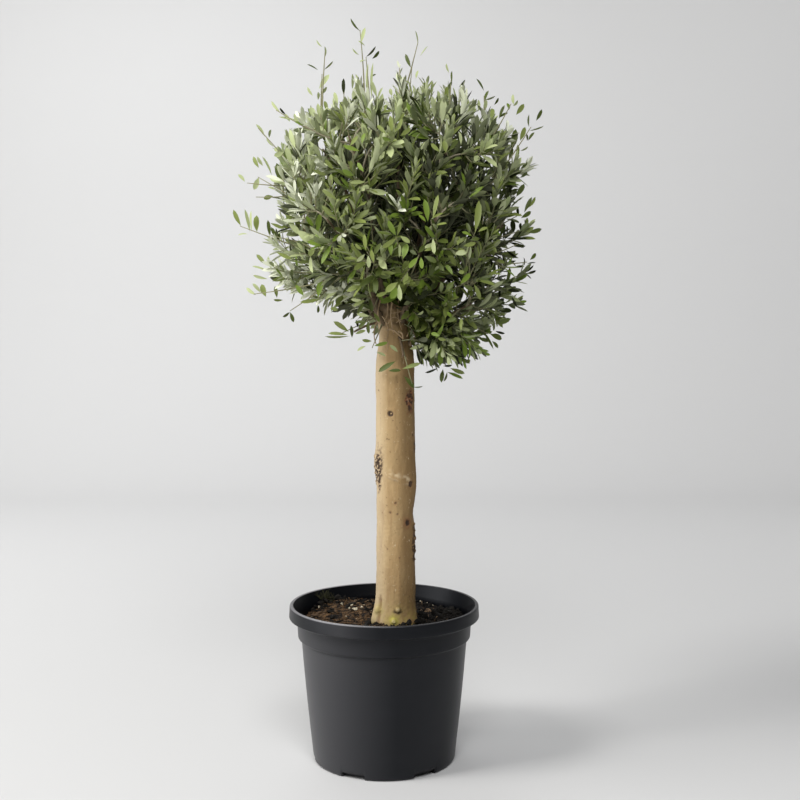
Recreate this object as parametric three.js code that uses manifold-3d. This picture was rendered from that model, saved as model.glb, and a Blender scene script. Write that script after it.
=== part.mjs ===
// A potted olive tree: an olive grown as a standard, with one clean stem and a bushy, lightly trimmed
// head, standing in the compost of a round plastic nursery pot.
// Units are millimetres, +Z is up, and the origin is the centre of the pot's flat underside.
// +X is the viewer's right and -Y faces the viewer.
import * as THREE from "three";
import { mergeVertices } from "three/addons/utils/BufferGeometryUtils.js";
import Module from "manifold-3d";

const wasm = await Module();
wasm.setup();

// Clearance between neighbouring solids, and the distance under which two corners are one
const GAP = 0.3;
const WELD = 1e-3;

// Pot
const RIM_RADIUS = 150;
const POT_HEIGHT = 247;
const LIP_HEIGHT = 20;
const LIP_WIDTH = 6.5;
const NECK_RADIUS = 137.8;
const SHOULDER_TOP = 200;
const SHOULDER_TOP_RADIUS = 136.2;
const SHOULDER_FOOT = 190;
const SHOULDER_FOOT_RADIUS = 130.4;
const FOOT_RADIUS = 112.6;
const FOOT_ROUND = 6;
const POT_WALL = 2.4;
const POT_FLOOR = 3.5;
const POT_SIDES = 32;
const BELLY = 0.9;
const LIP_ROUND = 2.2;
const FLOOR_ROUND = 4.2;

// Drain pockets round the foot of the pot
const POCKETS = 6;
const POCKET_TURN = -55;
const POCKET_WIDTH = 40;
const POCKET_DEPTH = 28;
const POCKET_HEIGHT = 8.5;
const UNDERCUT = 1;

// Compost
const SOIL_LEVEL = 221;

// How far the middle of a quarter circle lies from the corner that it rounds, along each side
const ARC_SHY = 1 - Math.SQRT1_2;

// Trunk
const TRUNK_X = 18.5;
const TRUNK_Y = -12;
const TRUNK_TOP = 722;
const TRUNK_SIDES = 16;
const TRUNK_RINGS = 22;
const STEM_RADIUS_LOW = 31.4;
const STEM_RADIUS_HIGH = 29.6;
const FLARE = 2.6;
const FLARE_FALL = 16;
const NECK_HEIGHT = 668;
const NECK_SPAN = 27;
const NECK_DIP = 4.6;
const SWAY = 1.2;
const RING_CROWDING = 1.1;
// The knuckle at the top of the trunk: how far its rings lie below the top, and their share of the width
const KNUCKLE = [
  { below: 10, share: 1 },
  { below: 3, share: 0.86 },
  { below: 0, share: 0.68 },
];
// Swellings and hollows of the stem: side in degrees, height, width in degrees, height span, size
const TRUNK_MARKS = [
  { side: 176, height: 470, turn: 34, span: 24, size: 3.0 },
  { side: 4, height: 392, turn: 42, span: 20, size: -3.6 },
  { side: 0, height: 446, turn: 40, span: 24, size: 1.6 },
  { side: 196, height: 226, turn: 24, span: 24, size: 6.0 },
  { side: 222, height: 240, turn: 11, span: 34, size: -2.6 },
  { side: -38, height: 222, turn: 26, span: 15, size: 4.2 },
  { side: 70, height: 224, turn: 30, span: 20, size: 4.5 },
  { side: 130, height: 232, turn: 14, span: 26, size: -2.0 },
  { side: 205, height: 704, turn: 34, span: 14, size: 3.4 },
  { side: 20, height: 700, turn: 40, span: 14, size: 2.2 },
  { side: 110, height: 560, turn: 30, span: 22, size: 1.8 },
];

// Crown: an envelope wider than a ball at its shoulders, with a skirt that hangs lowest on one side
const CROWN = new THREE.Vector3(25, 0, 860);
const CROWN_RADIUS = 212;
const CROWN_RISE = 198;
const SKIRT_DROP = 204;
const SKIRT_SWING = 56;
const SKIRT_TURN = 35;
const SQUARENESS = 2.7;

// Boughs and the masses they carry, by whorl: place of the masses from the crown's middle, where the
// bough leaves the trunk and how steeply, and how much of the way to the mass it covers
const WHORLS = [
  { name: "top", count: 1, reach: 0, rise: 112, turn: 0, leave: 690, tilt: 86, share: 0.5, root: 8 },
  { name: "upper", count: 5, reach: 112, rise: 66, turn: 18, leave: 682, tilt: 50, share: 0.5, root: 7 },
  { name: "middle", count: 6, reach: 132, rise: -50, turn: -12, leave: 672, tilt: 28, share: 0.42,
    root: 6.5 },
  { name: "under", count: 2, reach: 96, rise: -160, turn: -38, leave: 648, tilt: 18, share: 0.5, root: 5.2,
    spread: 104 },
];
const BOUGH_STAGGER = 5;
const BOUGH_BEND = 0.55;
const BOUGH_TIP = 4.4;
const BOUGH_SIDES = 6;
const BOUGH_STEPS = 4;

// Small shoots that spring from the trunk itself: their middle, and where they leave the trunk
const TRUNK_SHOOTS = [
  { name: "shoot_left", middle: [-46, -20, 676], leave: 690,
    tips: [[-92, -26, 668], [-62, -36, 640]] },
  { name: "shoot_front", middle: [30, -60, 640], leave: 668,
    tips: [[58, -62, 584], [-10, -70, 612]] },
];
const SHOOT_LEAF = 0.56;
const SHOOT_ROOT = 2.2;
const SHOOT_STRAIGHT = 14;

// Twigs
const STEM_SIDES = 5;
const STEM_STEPS = 3;
const STEM_TIP = 1.6;
const STEM_PAST = 40;
const STEM_BEND = 0.5;
const TWIG_SIDES = 3;
const TWIG_STEPS = 2;
const TWIG_ROOT = 2.2;
const TWIG_TIP = 1.1;
const TWIG_LEAN = 0.62;
const TWIG_FIRST = 0.12;
const TWIG_LAST = 0.94;
const TWIG_FORWARD = 0.3;
const TWIG_LIFT = 0.08;
const PROUD_STRAIGHT = 0.45;
const TWIG_TESTS = 12;
const TWIG_TIPS = 66;
const TIP_SHY = 58;
const TIP_JITTER = 16;
const TRUNK_CLEAR = 78;
const TRUNK_CLEAR_TOP = 765;

// Leaves: each stands for a few real ones
const LEAF_LENGTH = 80;
const LEAF_WIDTH = 27;
const LEAF_THICK = 2.6;
const LEAF_SPREAD = 44;
const LEAF_PAIRS = 2;
const LEAF_PAIR_START = 0.56;
const LEAF_PAIR_END = 0.94;
const LEAF_LAST = 0.98;
const LEAF_MIDDLE = 0.45;
const LEAF_CURL = 0.04;
const LEAF_SPREAD_VARY = 16;
const LEAF_VARY = 0.16;
// Shares of its spread and length at which a leaf is tried until it fits
const LEAF_TRIES = [[1, 1], [0.5, 1], [1.5, 0.75], [0.4, 0.7]];

// Room kept between neighbours, with limbs taken as rows of balls
const CELL_MARGIN = 0.5;
const LEAF_MARGIN = 1.6;
const LIMB_MARGIN = 1.4;
const BALL_STEP = 5;
const TRUNK_SWELL = 4.5;

// Proud shoots that stand out of the crown: the point that the last leaf of each reaches
const PROUD_SHOOTS = [
  [-37, -8, 1143], [-101, -20, 1121], [41, 12, 1116], [109, -10, 1072], [156, 30, 1066],
  [244, -8, 1015], [244, 0, 836], [-235, 0, 860], [-220, -22, 918], [-217, 6, 741],
  [124, -70, 607], [24, 100, 1118], [-62, 150, 1058], [160, 160, 1000], [20, 236, 900],
  [-130, -150, 985], [62, -224, 940], [140, 176, 690], [-84, 190, 762],
  [200, -20, 694], [186, -40, 662], [-170, -20, 724], [-132, -70, 704],
  [-66, -76, 700], [-104, 50, 712], [10, -128, 694],
];

// Cores of the dense masses: steps of the search for their reach, and what they keep clear of
const CORE_STEP = 3;
const CORE_MOST = 120;
const CORE_LEAST = 14;
const CORE_ROOM = 17;
const CORE_SKIN = 44;
const CORE_VARY = 0.2;
const GOLDEN_TURN = Math.PI * (3 - Math.sqrt(5));

const SEED = 4211;

const BARK = new THREE.MeshStandardMaterial({ color: 0xb59a6c, roughness: 0.85, metalness: 0 });
const TWIG_BARK = new THREE.MeshStandardMaterial({ color: 0x8d8468, roughness: 0.85, metalness: 0 });
const FOLIAGE = new THREE.MeshStandardMaterial({ color: 0x6d7a50, roughness: 0.6, metalness: 0 });
const PLASTIC = new THREE.MeshStandardMaterial({ color: 0x2c2e31, roughness: 0.45, metalness: 0 });
const COMPOST = new THREE.MeshStandardMaterial({ color: 0x33261c, roughness: 0.95, metalness: 0 });

const UP = new THREE.Vector3(0, 0, 1);
const radians = THREE.MathUtils.degToRad;

// Draws that repeat: the same seed gives the same numbers between 0 and 1.
function drawsFrom(seed) {
  let state = seed >>> 0;
  return () => {
    state = (state + 0x6d2b79f5) >>> 0;
    let mixed = state;
    mixed = Math.imul(mixed ^ (mixed >>> 15), mixed | 1);
    mixed ^= mixed + Math.imul(mixed ^ (mixed >>> 7), mixed | 61);
    return ((mixed ^ (mixed >>> 14)) >>> 0) / 4294967296;
  };
}

// Solids and geometries

function solidFrom(geometry) {
  const bare = geometry.clone();
  bare.deleteAttribute("normal");
  bare.deleteAttribute("uv");
  const merged = mergeVertices(bare, WELD);
  return new wasm.Manifold(
    new wasm.Mesh({
      numProp: 3,
      vertProperties: new Float32Array(merged.attributes.position.array),
      triVerts: new Uint32Array(merged.index.array),
    }),
  );
}

function geometryFrom(solid) {
  const mesh = solid.getMesh();
  const geometry = new THREE.BufferGeometry();
  geometry.setAttribute("position", new THREE.BufferAttribute(mesh.vertProperties, 3));
  geometry.setIndex(new THREE.BufferAttribute(mesh.triVerts, 1));
  geometry.computeVertexNormals();
  return geometry;
}

function named(name, geometry, material) {
  const mesh = new THREE.Mesh(geometry, material);
  mesh.name = name;
  return mesh;
}

// A closed body from rings of points, each ring running anticlockwise seen from the body's far end.
function bodyFromRings(rings) {
  const sides = rings[0].length;
  const places = rings.flat();
  const faces = [];
  const last = (rings.length - 1) * sides;
  for (let ring = 0; ring + 1 < rings.length; ring += 1) {
    for (let side = 0; side < sides; side += 1) {
      const a = ring * sides + side;
      const b = ring * sides + ((side + 1) % sides);
      faces.push(a, b, b + sides, a, b + sides, a + sides);
    }
  }
  for (let side = 1; side + 1 < sides; side += 1) {
    faces.push(0, side + 1, side);
    faces.push(last, last + side, last + side + 1);
  }
  const geometry = new THREE.BufferGeometry().setFromPoints(places);
  geometry.setIndex(faces);
  return geometry;
}

// A limb: a tapering tube with straight sides between its steps, along a curve.
function limbBody(curve, rootRadius, tipRadius, sides, steps) {
  const rings = [];
  const across = new THREE.Vector3();
  for (let step = 0; step <= steps; step += 1) {
    const share = step / steps;
    const centre = curve.getPoint(share);
    const along = curve.getTangent(share);
    if (step === 0) across.crossVectors(along, Math.abs(along.z) < 0.9 ? UP : new THREE.Vector3(1, 0, 0));
    across.addScaledVector(along, -across.dot(along)).normalize();
    const beside = new THREE.Vector3().crossVectors(along, across);
    const radius = THREE.MathUtils.lerp(rootRadius, tipRadius, share);
    const ring = [];
    for (let side = 0; side < sides; side += 1) {
      const turn = (2 * Math.PI * side) / sides;
      const place = centre.clone().addScaledVector(across, radius * Math.cos(turn));
      ring.push(place.addScaledVector(beside, radius * Math.sin(turn)));
    }
    rings.push(ring);
  }
  return bodyFromRings(rings);
}

// A blade of eight faces: a point at each end, an edge point on each side, and a middle point above and
// below.
function leafPoints(root, along, face, length, width) {
  const side = new THREE.Vector3().crossVectors(along, face).normalize();
  const middle = root.clone().addScaledVector(along, length * LEAF_MIDDLE);
  const tip = root.clone().addScaledVector(along, length).addScaledVector(face, -length * LEAF_CURL);
  return [
    root.clone(),
    tip,
    middle.clone().addScaledVector(side, width / 2),
    middle.clone().addScaledVector(side, -width / 2),
    middle.clone().addScaledVector(face, LEAF_THICK / 2),
    middle.clone().addScaledVector(face, -LEAF_THICK / 2),
  ];
}

function leafBody(points) {
  const faces = [];
  const belt = [0, 2, 1, 3];
  belt.forEach((corner, index) => {
    const next = belt[(index + 1) % belt.length];
    faces.push(4, corner, next, 5, next, corner);
  });
  const geometry = new THREE.BufferGeometry().setFromPoints(points);
  geometry.setIndex(faces);
  return geometry;
}

// The one body that is left of a fused mass: loose scraps are dropped and sealed hollows are filled.
function oneBody(solid) {
  const larger = (best, body) => (body.volume() > best.volume() ? body : best);
  const largest = (bodies) => bodies.reduce(larger);
  const fused = largest(solid.decompose());
  return largest(solidFrom(geometryFrom(fused)).decompose());
}

// Pot and compost

function wallRadius(height) {
  const share = (height - FOOT_ROUND) / (SHOULDER_FOOT - FOOT_ROUND);
  return THREE.MathUtils.lerp(FOOT_RADIUS, SHOULDER_FOOT_RADIUS, share) + BELLY * Math.sin(Math.PI * share);
}

// The pot's outer outline from the foot to the neck, under the lip.
function outerOutline() {
  const wall = [0, 0.5, 1].map((share) => {
    const height = THREE.MathUtils.lerp(FOOT_ROUND, SHOULDER_FOOT, share);
    return [wallRadius(height), height];
  });
  return [
    [FOOT_RADIUS - FOOT_ROUND, 0],
    [FOOT_RADIUS - FOOT_ROUND * ARC_SHY, FOOT_ROUND * ARC_SHY],
    ...wall,
    [SHOULDER_TOP_RADIUS, SHOULDER_TOP],
    [NECK_RADIUS, POT_HEIGHT - LIP_HEIGHT],
  ];
}

// The pot's inner outline from the rim down to the floor.
function innerOutline() {
  const inset = POT_WALL;
  return [
    [RIM_RADIUS - LIP_WIDTH, POT_HEIGHT - LIP_ROUND],
    [NECK_RADIUS - inset, POT_HEIGHT - LIP_HEIGHT],
    [SHOULDER_TOP_RADIUS - inset, SHOULDER_TOP],
    [SHOULDER_FOOT_RADIUS - inset, SHOULDER_FOOT],
    [wallRadius((SHOULDER_FOOT + FOOT_ROUND) / 2) - inset, (SHOULDER_FOOT + FOOT_ROUND) / 2],
    [FOOT_RADIUS - inset, FOOT_ROUND + POT_FLOOR],
    [FOOT_RADIUS - inset - FLOOR_ROUND, POT_FLOOR],
  ];
}

function turned(outline) {
  const points = outline.map(([radius, height]) => new THREE.Vector2(radius, height));
  const geometry = new THREE.LatheGeometry(points, POT_SIDES);
  return geometry.rotateX(Math.PI / 2);
}

// A block at each drain pocket, grown by a margin on its sides and top.
function pocketBlocks(grow, reach) {
  const width = POCKET_WIDTH + 2 * grow;
  const height = POCKET_HEIGHT + grow;
  const depth = reach + grow;
  return Array.from({ length: POCKETS }, (_, index) => {
    const turn = radians(POCKET_TURN + (360 * index) / POCKETS);
    const block = new THREE.BoxGeometry(depth, width, height + UNDERCUT);
    block.translate(FOOT_RADIUS - POCKET_DEPTH - grow + depth / 2, 0, (height - UNDERCUT) / 2);
    block.rotateZ(turn);
    return solidFrom(block);
  });
}

function makePot() {
  const lip = [
    [RIM_RADIUS - LIP_ROUND, POT_HEIGHT - LIP_HEIGHT],
    [RIM_RADIUS, POT_HEIGHT - LIP_HEIGHT + LIP_ROUND],
    [RIM_RADIUS, POT_HEIGHT - LIP_ROUND],
    [RIM_RADIUS - LIP_ROUND, POT_HEIGHT],
    [RIM_RADIUS - LIP_WIDTH + LIP_ROUND / 2, POT_HEIGHT],
  ];
  const outline = [[0, 0], ...outerOutline(), ...lip, ...innerOutline(), [0, POT_FLOOR]];
  let pot = solidFrom(turned(outline));
  const inside = solidFrom(turned([[0, 0], ...outerOutline(), [0, POT_HEIGHT - LIP_HEIGHT]]));
  const roofs = pocketBlocks(POT_WALL, POCKET_DEPTH);
  const hollows = pocketBlocks(0, POCKET_DEPTH * 2);
  roofs.forEach((roof) => {
    pot = pot.add(roof.intersect(inside));
  });
  hollows.forEach((hollow) => {
    pot = pot.subtract(hollow);
  });
  return named("pot", geometryFrom(pot), PLASTIC);
}

function makeSoil() {
  const inner = innerOutline().reverse().filter(([, height]) => height < SOIL_LEVEL);
  const [lowRadius, lowHeight] = inner[inner.length - 1];
  const neckShare = (SOIL_LEVEL - lowHeight) / (POT_HEIGHT - LIP_HEIGHT - lowHeight);
  const topRadius = THREE.MathUtils.lerp(lowRadius, NECK_RADIUS - POT_WALL, neckShare);
  const shy = GAP * 1.5; // a little more than the gap, because the walls slope
  const outline = [
    [0, POT_FLOOR + GAP],
    ...inner.map(([radius, height]) => [radius - shy, Math.max(height, POT_FLOOR + GAP)]),
    [topRadius - shy, SOIL_LEVEL],
    [0, SOIL_LEVEL],
  ];
  let soil = solidFrom(turned(outline));
  pocketBlocks(POT_WALL + GAP, POCKET_DEPTH * 2).forEach((block) => {
    soil = soil.subtract(block);
  });
  return named("compost", geometryFrom(soil), COMPOST);
}

// Trunk

function trunkAxis(height) {
  const share = (height - SOIL_LEVEL) / (TRUNK_TOP - SOIL_LEVEL);
  return new THREE.Vector3(
    TRUNK_X + SWAY * Math.sin(2 * Math.PI * share),
    TRUNK_Y + SWAY * Math.sin(Math.PI * share),
    height,
  );
}

function trunkRadius(turn, height) {
  const share = (height - SOIL_LEVEL) / (TRUNK_TOP - SOIL_LEVEL);
  let radius = THREE.MathUtils.lerp(STEM_RADIUS_LOW, STEM_RADIUS_HIGH, share);
  radius += FLARE * Math.exp(-(height - SOIL_LEVEL) / FLARE_FALL);
  radius -= NECK_DIP * Math.exp(-(((height - NECK_HEIGHT) / NECK_SPAN) ** 2));
  TRUNK_MARKS.forEach((mark) => {
    const off = THREE.MathUtils.euclideanModulo(turn - radians(mark.side) + Math.PI, 2 * Math.PI) - Math.PI;
    const across = off / radians(mark.turn);
    const upward = (height - mark.height) / mark.span;
    radius += mark.size * Math.exp(-across * across - upward * upward);
  });
  return radius;
}

// The trunk from its flat cut on the compost to the rounded knuckle where the boughs leave it.
function trunkBody(grow) {
  const shaftTop = TRUNK_TOP - KNUCKLE[0].below;
  const shaft = Array.from({ length: TRUNK_RINGS }, (_, ring) => ({
    height: THREE.MathUtils.lerp(SOIL_LEVEL + GAP, shaftTop, (ring / TRUNK_RINGS) ** RING_CROWDING),
    share: 1,
    lift: 0,
  }));
  const knuckle = KNUCKLE.map(({ below, share }) => ({
    height: TRUNK_TOP - below,
    share,
    lift: below === 0 ? grow : 0,
  }));
  const rings = [...shaft, ...knuckle].map(({ height, share, lift }) => {
    const centre = trunkAxis(height);
    return Array.from({ length: TRUNK_SIDES }, (_, side) => {
      const turn = (2 * Math.PI * side) / TRUNK_SIDES;
      const radius = trunkRadius(turn, height) * share + grow;
      return new THREE.Vector3(
        centre.x + radius * Math.cos(turn),
        centre.y + radius * Math.sin(turn),
        height + lift,
      );
    });
  });
  return bodyFromRings(rings);
}

// Crown

// How far the crown reaches from its middle along a direction.
function crownReach(direction) {
  const flat = Math.hypot(direction.x, direction.y);
  const turn = Math.atan2(direction.y, direction.x);
  const drop = SKIRT_DROP + SKIRT_SWING * Math.cos(turn - radians(SKIRT_TURN));
  const height = direction.z > 0 ? CROWN_RISE : drop;
  const outward = (flat / CROWN_RADIUS) ** SQUARENESS;
  const upward = (Math.abs(direction.z) / height) ** SQUARENESS;
  return (outward + upward) ** (-1 / SQUARENESS);
}

function makeBoughPlans() {
  const plans = [];
  WHORLS.forEach((whorl) => {
    for (let index = 0; index < whorl.count; index += 1) {
      const turn = radians(whorl.turn + (whorl.spread ?? 360 / whorl.count) * index);
      const outward = new THREE.Vector3(Math.cos(turn), Math.sin(turn), 0);
      const middle = CROWN.clone().addScaledVector(outward, whorl.reach);
      middle.z += whorl.rise;
      const start = trunkAxis(whorl.leave + BOUGH_STAGGER * (index % 2));
      const away = middle.clone().sub(start);
      const heading = new THREE.Vector3(away.x, away.y, 0).normalize();
      heading.multiplyScalar(Math.cos(radians(whorl.tilt)));
      heading.z = Math.sin(radians(whorl.tilt));
      const tip = start.clone().addScaledVector(away, whorl.share);
      const bend = start.clone().addScaledVector(heading, away.length() * whorl.share * BOUGH_BEND);
      plans.push({
        name: whorl.count > 1 ? `${whorl.name}_${index + 1}` : whorl.name,
        middle,
        curve: new THREE.QuadraticBezierCurve3(start, bend, tip),
        root: whorl.root,
      });
    }
  });
  return plans;
}

// The stem that runs on from a limb's tip through its mass.
function stemCurve(start, heading, middle) {
  const beyond = middle.clone().sub(start);
  const end = middle.clone().addScaledVector(beyond.clone().normalize(), STEM_PAST);
  const bend = start.clone().addScaledVector(heading, beyond.length() * STEM_BEND);
  return new THREE.QuadraticBezierCurve3(start, bend, end);
}

// The end of a twig whose last leaf reaches a named point.
function proudTip(middle, furthest, leaf) {
  const place = new THREE.Vector3(...furthest);
  const outward = place.clone().sub(middle).normalize();
  return { place: place.addScaledVector(outward, -LEAF_LENGTH * leaf), outward };
}

function makeMassPlans(boughPlans) {
  const masses = boughPlans.map((plan) => {
    const heading = plan.curve.getTangent(1);
    const start = plan.curve.getPoint(1).addScaledVector(heading, GAP);
    return {
      name: `foliage_${plan.name}`,
      middle: plan.middle,
      stem: stemCurve(start, heading, plan.middle),
      root: BOUGH_TIP,
      tips: [],
      sparse: false,
      leaf: 1,
    };
  });
  TRUNK_SHOOTS.forEach((shoot) => {
    const middle = new THREE.Vector3(...shoot.middle);
    const centre = trunkAxis(shoot.leave);
    const heading = middle.clone().sub(centre).setZ(0).normalize();
    const turn = Math.atan2(heading.y, heading.x);
    const clear = trunkRadius(turn, shoot.leave) + GAP;
    const start = centre.clone().addScaledVector(heading, clear);
    const bend = start.clone().addScaledVector(heading, SHOOT_STRAIGHT);
    masses.push({
      name: `foliage_${shoot.name}`,
      middle,
      stem: new THREE.QuadraticBezierCurve3(start, bend, middle),
      root: SHOOT_ROOT,
      tips: shoot.tips.map((tip) => proudTip(middle, tip, SHOOT_LEAF)),
      sparse: true,
      leaf: SHOOT_LEAF,
    });
  });
  return masses;
}

function nearestMass(masses, place) {
  return masses.reduce((best, mass) =>
    mass.middle.distanceTo(place) < best.middle.distanceTo(place) ? mass : best,
  );
}

// Twig tips spread evenly over the crown, each dealt to the mass whose middle is nearest.
function dealTips(masses) {
  const draw = drawsFrom(SEED);
  for (let index = 0; index < TWIG_TIPS; index += 1) {
    const rise = 1 - (2 * index + 1) / TWIG_TIPS;
    const flat = Math.sqrt(1 - rise * rise);
    const turn = GOLDEN_TURN * index;
    const direction = new THREE.Vector3(flat * Math.cos(turn), flat * Math.sin(turn), rise);
    const reach = crownReach(direction) - TIP_SHY + TIP_JITTER * (draw() - 0.5) * 2;
    const place = CROWN.clone().addScaledVector(direction, reach);
    const aside = Math.hypot(place.x - TRUNK_X, place.y - TRUNK_Y);
    const besideTrunk = aside < TRUNK_CLEAR && place.z < TRUNK_CLEAR_TOP;
    if (!besideTrunk) nearestMass(masses, place).tips.push({ place, outward: null });
  }
  PROUD_SHOOTS.forEach((furthest) => {
    const mass = nearestMass(masses, new THREE.Vector3(...furthest));
    mass.tips.push(proudTip(mass.middle, furthest, 1));
  });
}

// True if a ball round a place lies in this mass's own space, nearer to its middle than to any other's.
function inOwnSpace(masses, mass, place, radius) {
  return masses.every((other) => {
    if (other === mass) return true;
    const across = other.middle.clone().sub(mass.middle);
    const halfway = mass.middle.clone().add(other.middle).multiplyScalar(0.5);
    return place.clone().sub(halfway).dot(across) / across.length() < -CELL_MARGIN - radius;
  });
}

// Balls along the trunk, the boughs and the masses' stems, for keeping twigs and leaves clear of them.
// A stem's balls name the mass that they belong to.
function limbBalls(boughPlans, masses) {
  const balls = [];
  for (let height = SOIL_LEVEL; height < TRUNK_TOP; height += BALL_STEP) {
    balls.push({ centre: trunkAxis(height), radius: STEM_RADIUS_HIGH + TRUNK_SWELL });
  }
  const alongCurve = (curve, root, tip, owner) => {
    const steps = Math.ceil(curve.getLength() / BALL_STEP);
    for (let step = 0; step <= steps; step += 1) {
      const radius = THREE.MathUtils.lerp(root, tip, step / steps);
      balls.push({ centre: curve.getPoint(step / steps), radius, owner });
    }
  };
  boughPlans.forEach((plan) => alongCurve(plan.curve, plan.root, BOUGH_TIP, null));
  masses.forEach((mass) => alongCurve(mass.stem, mass.root, STEM_TIP, mass));
  return balls;
}

function clearOfLimbs(mass, balls, place, room) {
  return balls.every((ball) => ball.owner === mass || ball.centre.distanceTo(place) > ball.radius + room);
}

// True if balls of one radius round these places stay in the mass's own space and off every limb.
function hasRoom(masses, mass, balls, places, radius, margin) {
  return places.every(
    (place) => inOwnSpace(masses, mass, place, radius) && clearOfLimbs(mass, balls, place, radius + margin),
  );
}

// Points over a blade: its corners, and steps along its middle and its two edges.
function placesOnLeaf(points) {
  const places = [...points];
  [4, 2, 3].forEach((middle) => {
    [0.35, 0.7].forEach((share) => {
      places.push(points[0].clone().lerp(points[middle], share));
      places.push(points[middle].clone().lerp(points[1], share));
    });
  });
  return places.slice(1);
}

// A twig's curve: it leaves the stem forward and turns to its tip with a little lift, and a proud one
// ends along its own outward line.
function twigCurve(stem, place, outward) {
  const origin = stem.getPoint(0);
  const heading = stem.getPoint(1).sub(origin);
  const length = heading.length();
  heading.normalize();
  const along = place.clone().sub(origin).dot(heading);
  const aside = place.clone().sub(origin).addScaledVector(heading, -along).length();
  const share = THREE.MathUtils.clamp((along - TWIG_LEAN * aside) / length, TWIG_FIRST, TWIG_LAST);
  const start = stem.getPoint(share);
  const chord = place.clone().sub(start);
  const reach = chord.length();
  const bend = start.clone().addScaledVector(heading, reach * TWIG_FORWARD);
  bend.addScaledVector(chord, TWIG_FORWARD);
  bend.z += reach * TWIG_LIFT;
  if (outward) bend.copy(place).addScaledVector(outward, -PROUD_STRAIGHT * reach);
  return new THREE.QuadraticBezierCurve3(start, bend, place);
}

// A leaf at the first of the tried spreads and lengths that fits, or none.
function fittedLeaf(root, along, side, spread, length, fits) {
  for (const [turnShare, lengthShare] of LEAF_TRIES) {
    const turn = radians(spread * turnShare);
    const heading = along.clone().multiplyScalar(Math.cos(turn)).addScaledVector(side, Math.sin(turn));
    const face = along.clone().addScaledVector(heading, -along.dot(heading)).normalize();
    const width = (LEAF_WIDTH / LEAF_LENGTH) * length * lengthShare;
    const points = leafPoints(root, heading, face, length * lengthShare, width);
    if (fits(points)) return [points];
  }
  return [];
}

// Pairs of leaves along a twig, each pair a quarter turn on from the last, and one leaf at its end.
function leavesOn(curve, scale, draw, fits) {
  const leaves = [];
  let quarter = draw() * Math.PI;
  for (let pair = 0; pair < LEAF_PAIRS; pair += 1) {
    const share = THREE.MathUtils.lerp(LEAF_PAIR_START, LEAF_PAIR_END, pair / (LEAF_PAIRS - 1));
    const root = curve.getPoint(share);
    const along = curve.getTangent(share);
    const across = new THREE.Vector3().crossVectors(along, UP).normalize();
    quarter += Math.PI / 2;
    [0, Math.PI].forEach((half) => {
      const side = across.clone().applyAxisAngle(along, quarter + half);
      const spread = LEAF_SPREAD + LEAF_SPREAD_VARY * (draw() - 0.5);
      const length = LEAF_LENGTH * scale * (1 + LEAF_VARY * (draw() - 0.5) * 2);
      leaves.push(...fittedLeaf(root, along, side, spread, length, fits));
    });
  }
  const along = curve.getTangent(1);
  const face = new THREE.Vector3().crossVectors(along, UP).applyAxisAngle(along, draw() * Math.PI);
  const last = leafPoints(
    curve.getPoint(LEAF_LAST), along, face.normalize(), LEAF_LENGTH * scale, LEAF_WIDTH * scale,
  );
  if (fits(last)) leaves.push(last);
  return leaves;
}

// True if a place lies inside the crown by at least the length that the leaves stand out.
function underSkin(place) {
  const outward = place.clone().sub(CROWN);
  const distance = outward.length();
  return distance < 1 || distance + CORE_SKIN < crownReach(outward.divideScalar(distance));
}

// How far a core may reach from its mass's middle along a direction: within its own space, under the
// crown's skin and clear of the limbs.
function coreReach(masses, mass, balls, direction) {
  const place = mass.middle.clone();
  let reach = 0;
  while (
    reach < CORE_MOST &&
    inOwnSpace(masses, mass, place, 0) &&
    underSkin(place) &&
    clearOfLimbs(mass, balls, place, CORE_ROOM)
  ) {
    reach += CORE_STEP;
    place.copy(mass.middle).addScaledVector(direction, reach);
  }
  return Math.max(reach - CORE_STEP, CORE_LEAST);
}

// The core that a dense mass's twigs stand out of: a lumpy body that fills the mass's space unevenly.
function coreOf(masses, mass, balls, draw) {
  const core = new THREE.IcosahedronGeometry(1, 1);
  core.deleteAttribute("normal");
  core.deleteAttribute("uv");
  const lumps = mergeVertices(core, WELD);
  const corners = lumps.attributes.position;
  const direction = new THREE.Vector3();
  for (let index = 0; index < corners.count; index += 1) {
    direction.fromBufferAttribute(corners, index).normalize();
    const reach = coreReach(masses, mass, balls, direction) * (1 - CORE_VARY * draw());
    direction.multiplyScalar(reach).add(mass.middle);
    corners.setXYZ(index, direction.x, direction.y, direction.z);
  }
  return solidFrom(lumps);
}

function makeMass(masses, mass, balls, draw) {
  let solid = solidFrom(limbBody(mass.stem, mass.root, STEM_TIP, STEM_SIDES, STEM_STEPS));
  if (!mass.sparse) solid = solid.add(coreOf(masses, mass, balls, draw));
  const fits = (points) => hasRoom(masses, mass, balls, placesOnLeaf(points), 0, LEAF_MARGIN);
  mass.tips.forEach(({ place, outward }) => {
    const curve = twigCurve(mass.stem, place, outward);
    const steps = curve.getPoints(TWIG_TESTS).slice(1);
    if (!hasRoom(masses, mass, balls, steps, TWIG_ROOT, LIMB_MARGIN)) return;
    solid = solid.add(solidFrom(limbBody(curve, TWIG_ROOT, TWIG_TIP, TWIG_SIDES, TWIG_STEPS)));
    leavesOn(curve, mass.leaf, draw, fits).forEach((points) => {
      solid = solid.add(solidFrom(leafBody(points)));
    });
  });
  return named(mass.name, geometryFrom(oneBody(solid)), FOLIAGE);
}

const tree = new THREE.Group();
tree.add(makePot(), makeSoil());
tree.add(named("trunk", trunkBody(0), BARK));

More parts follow.
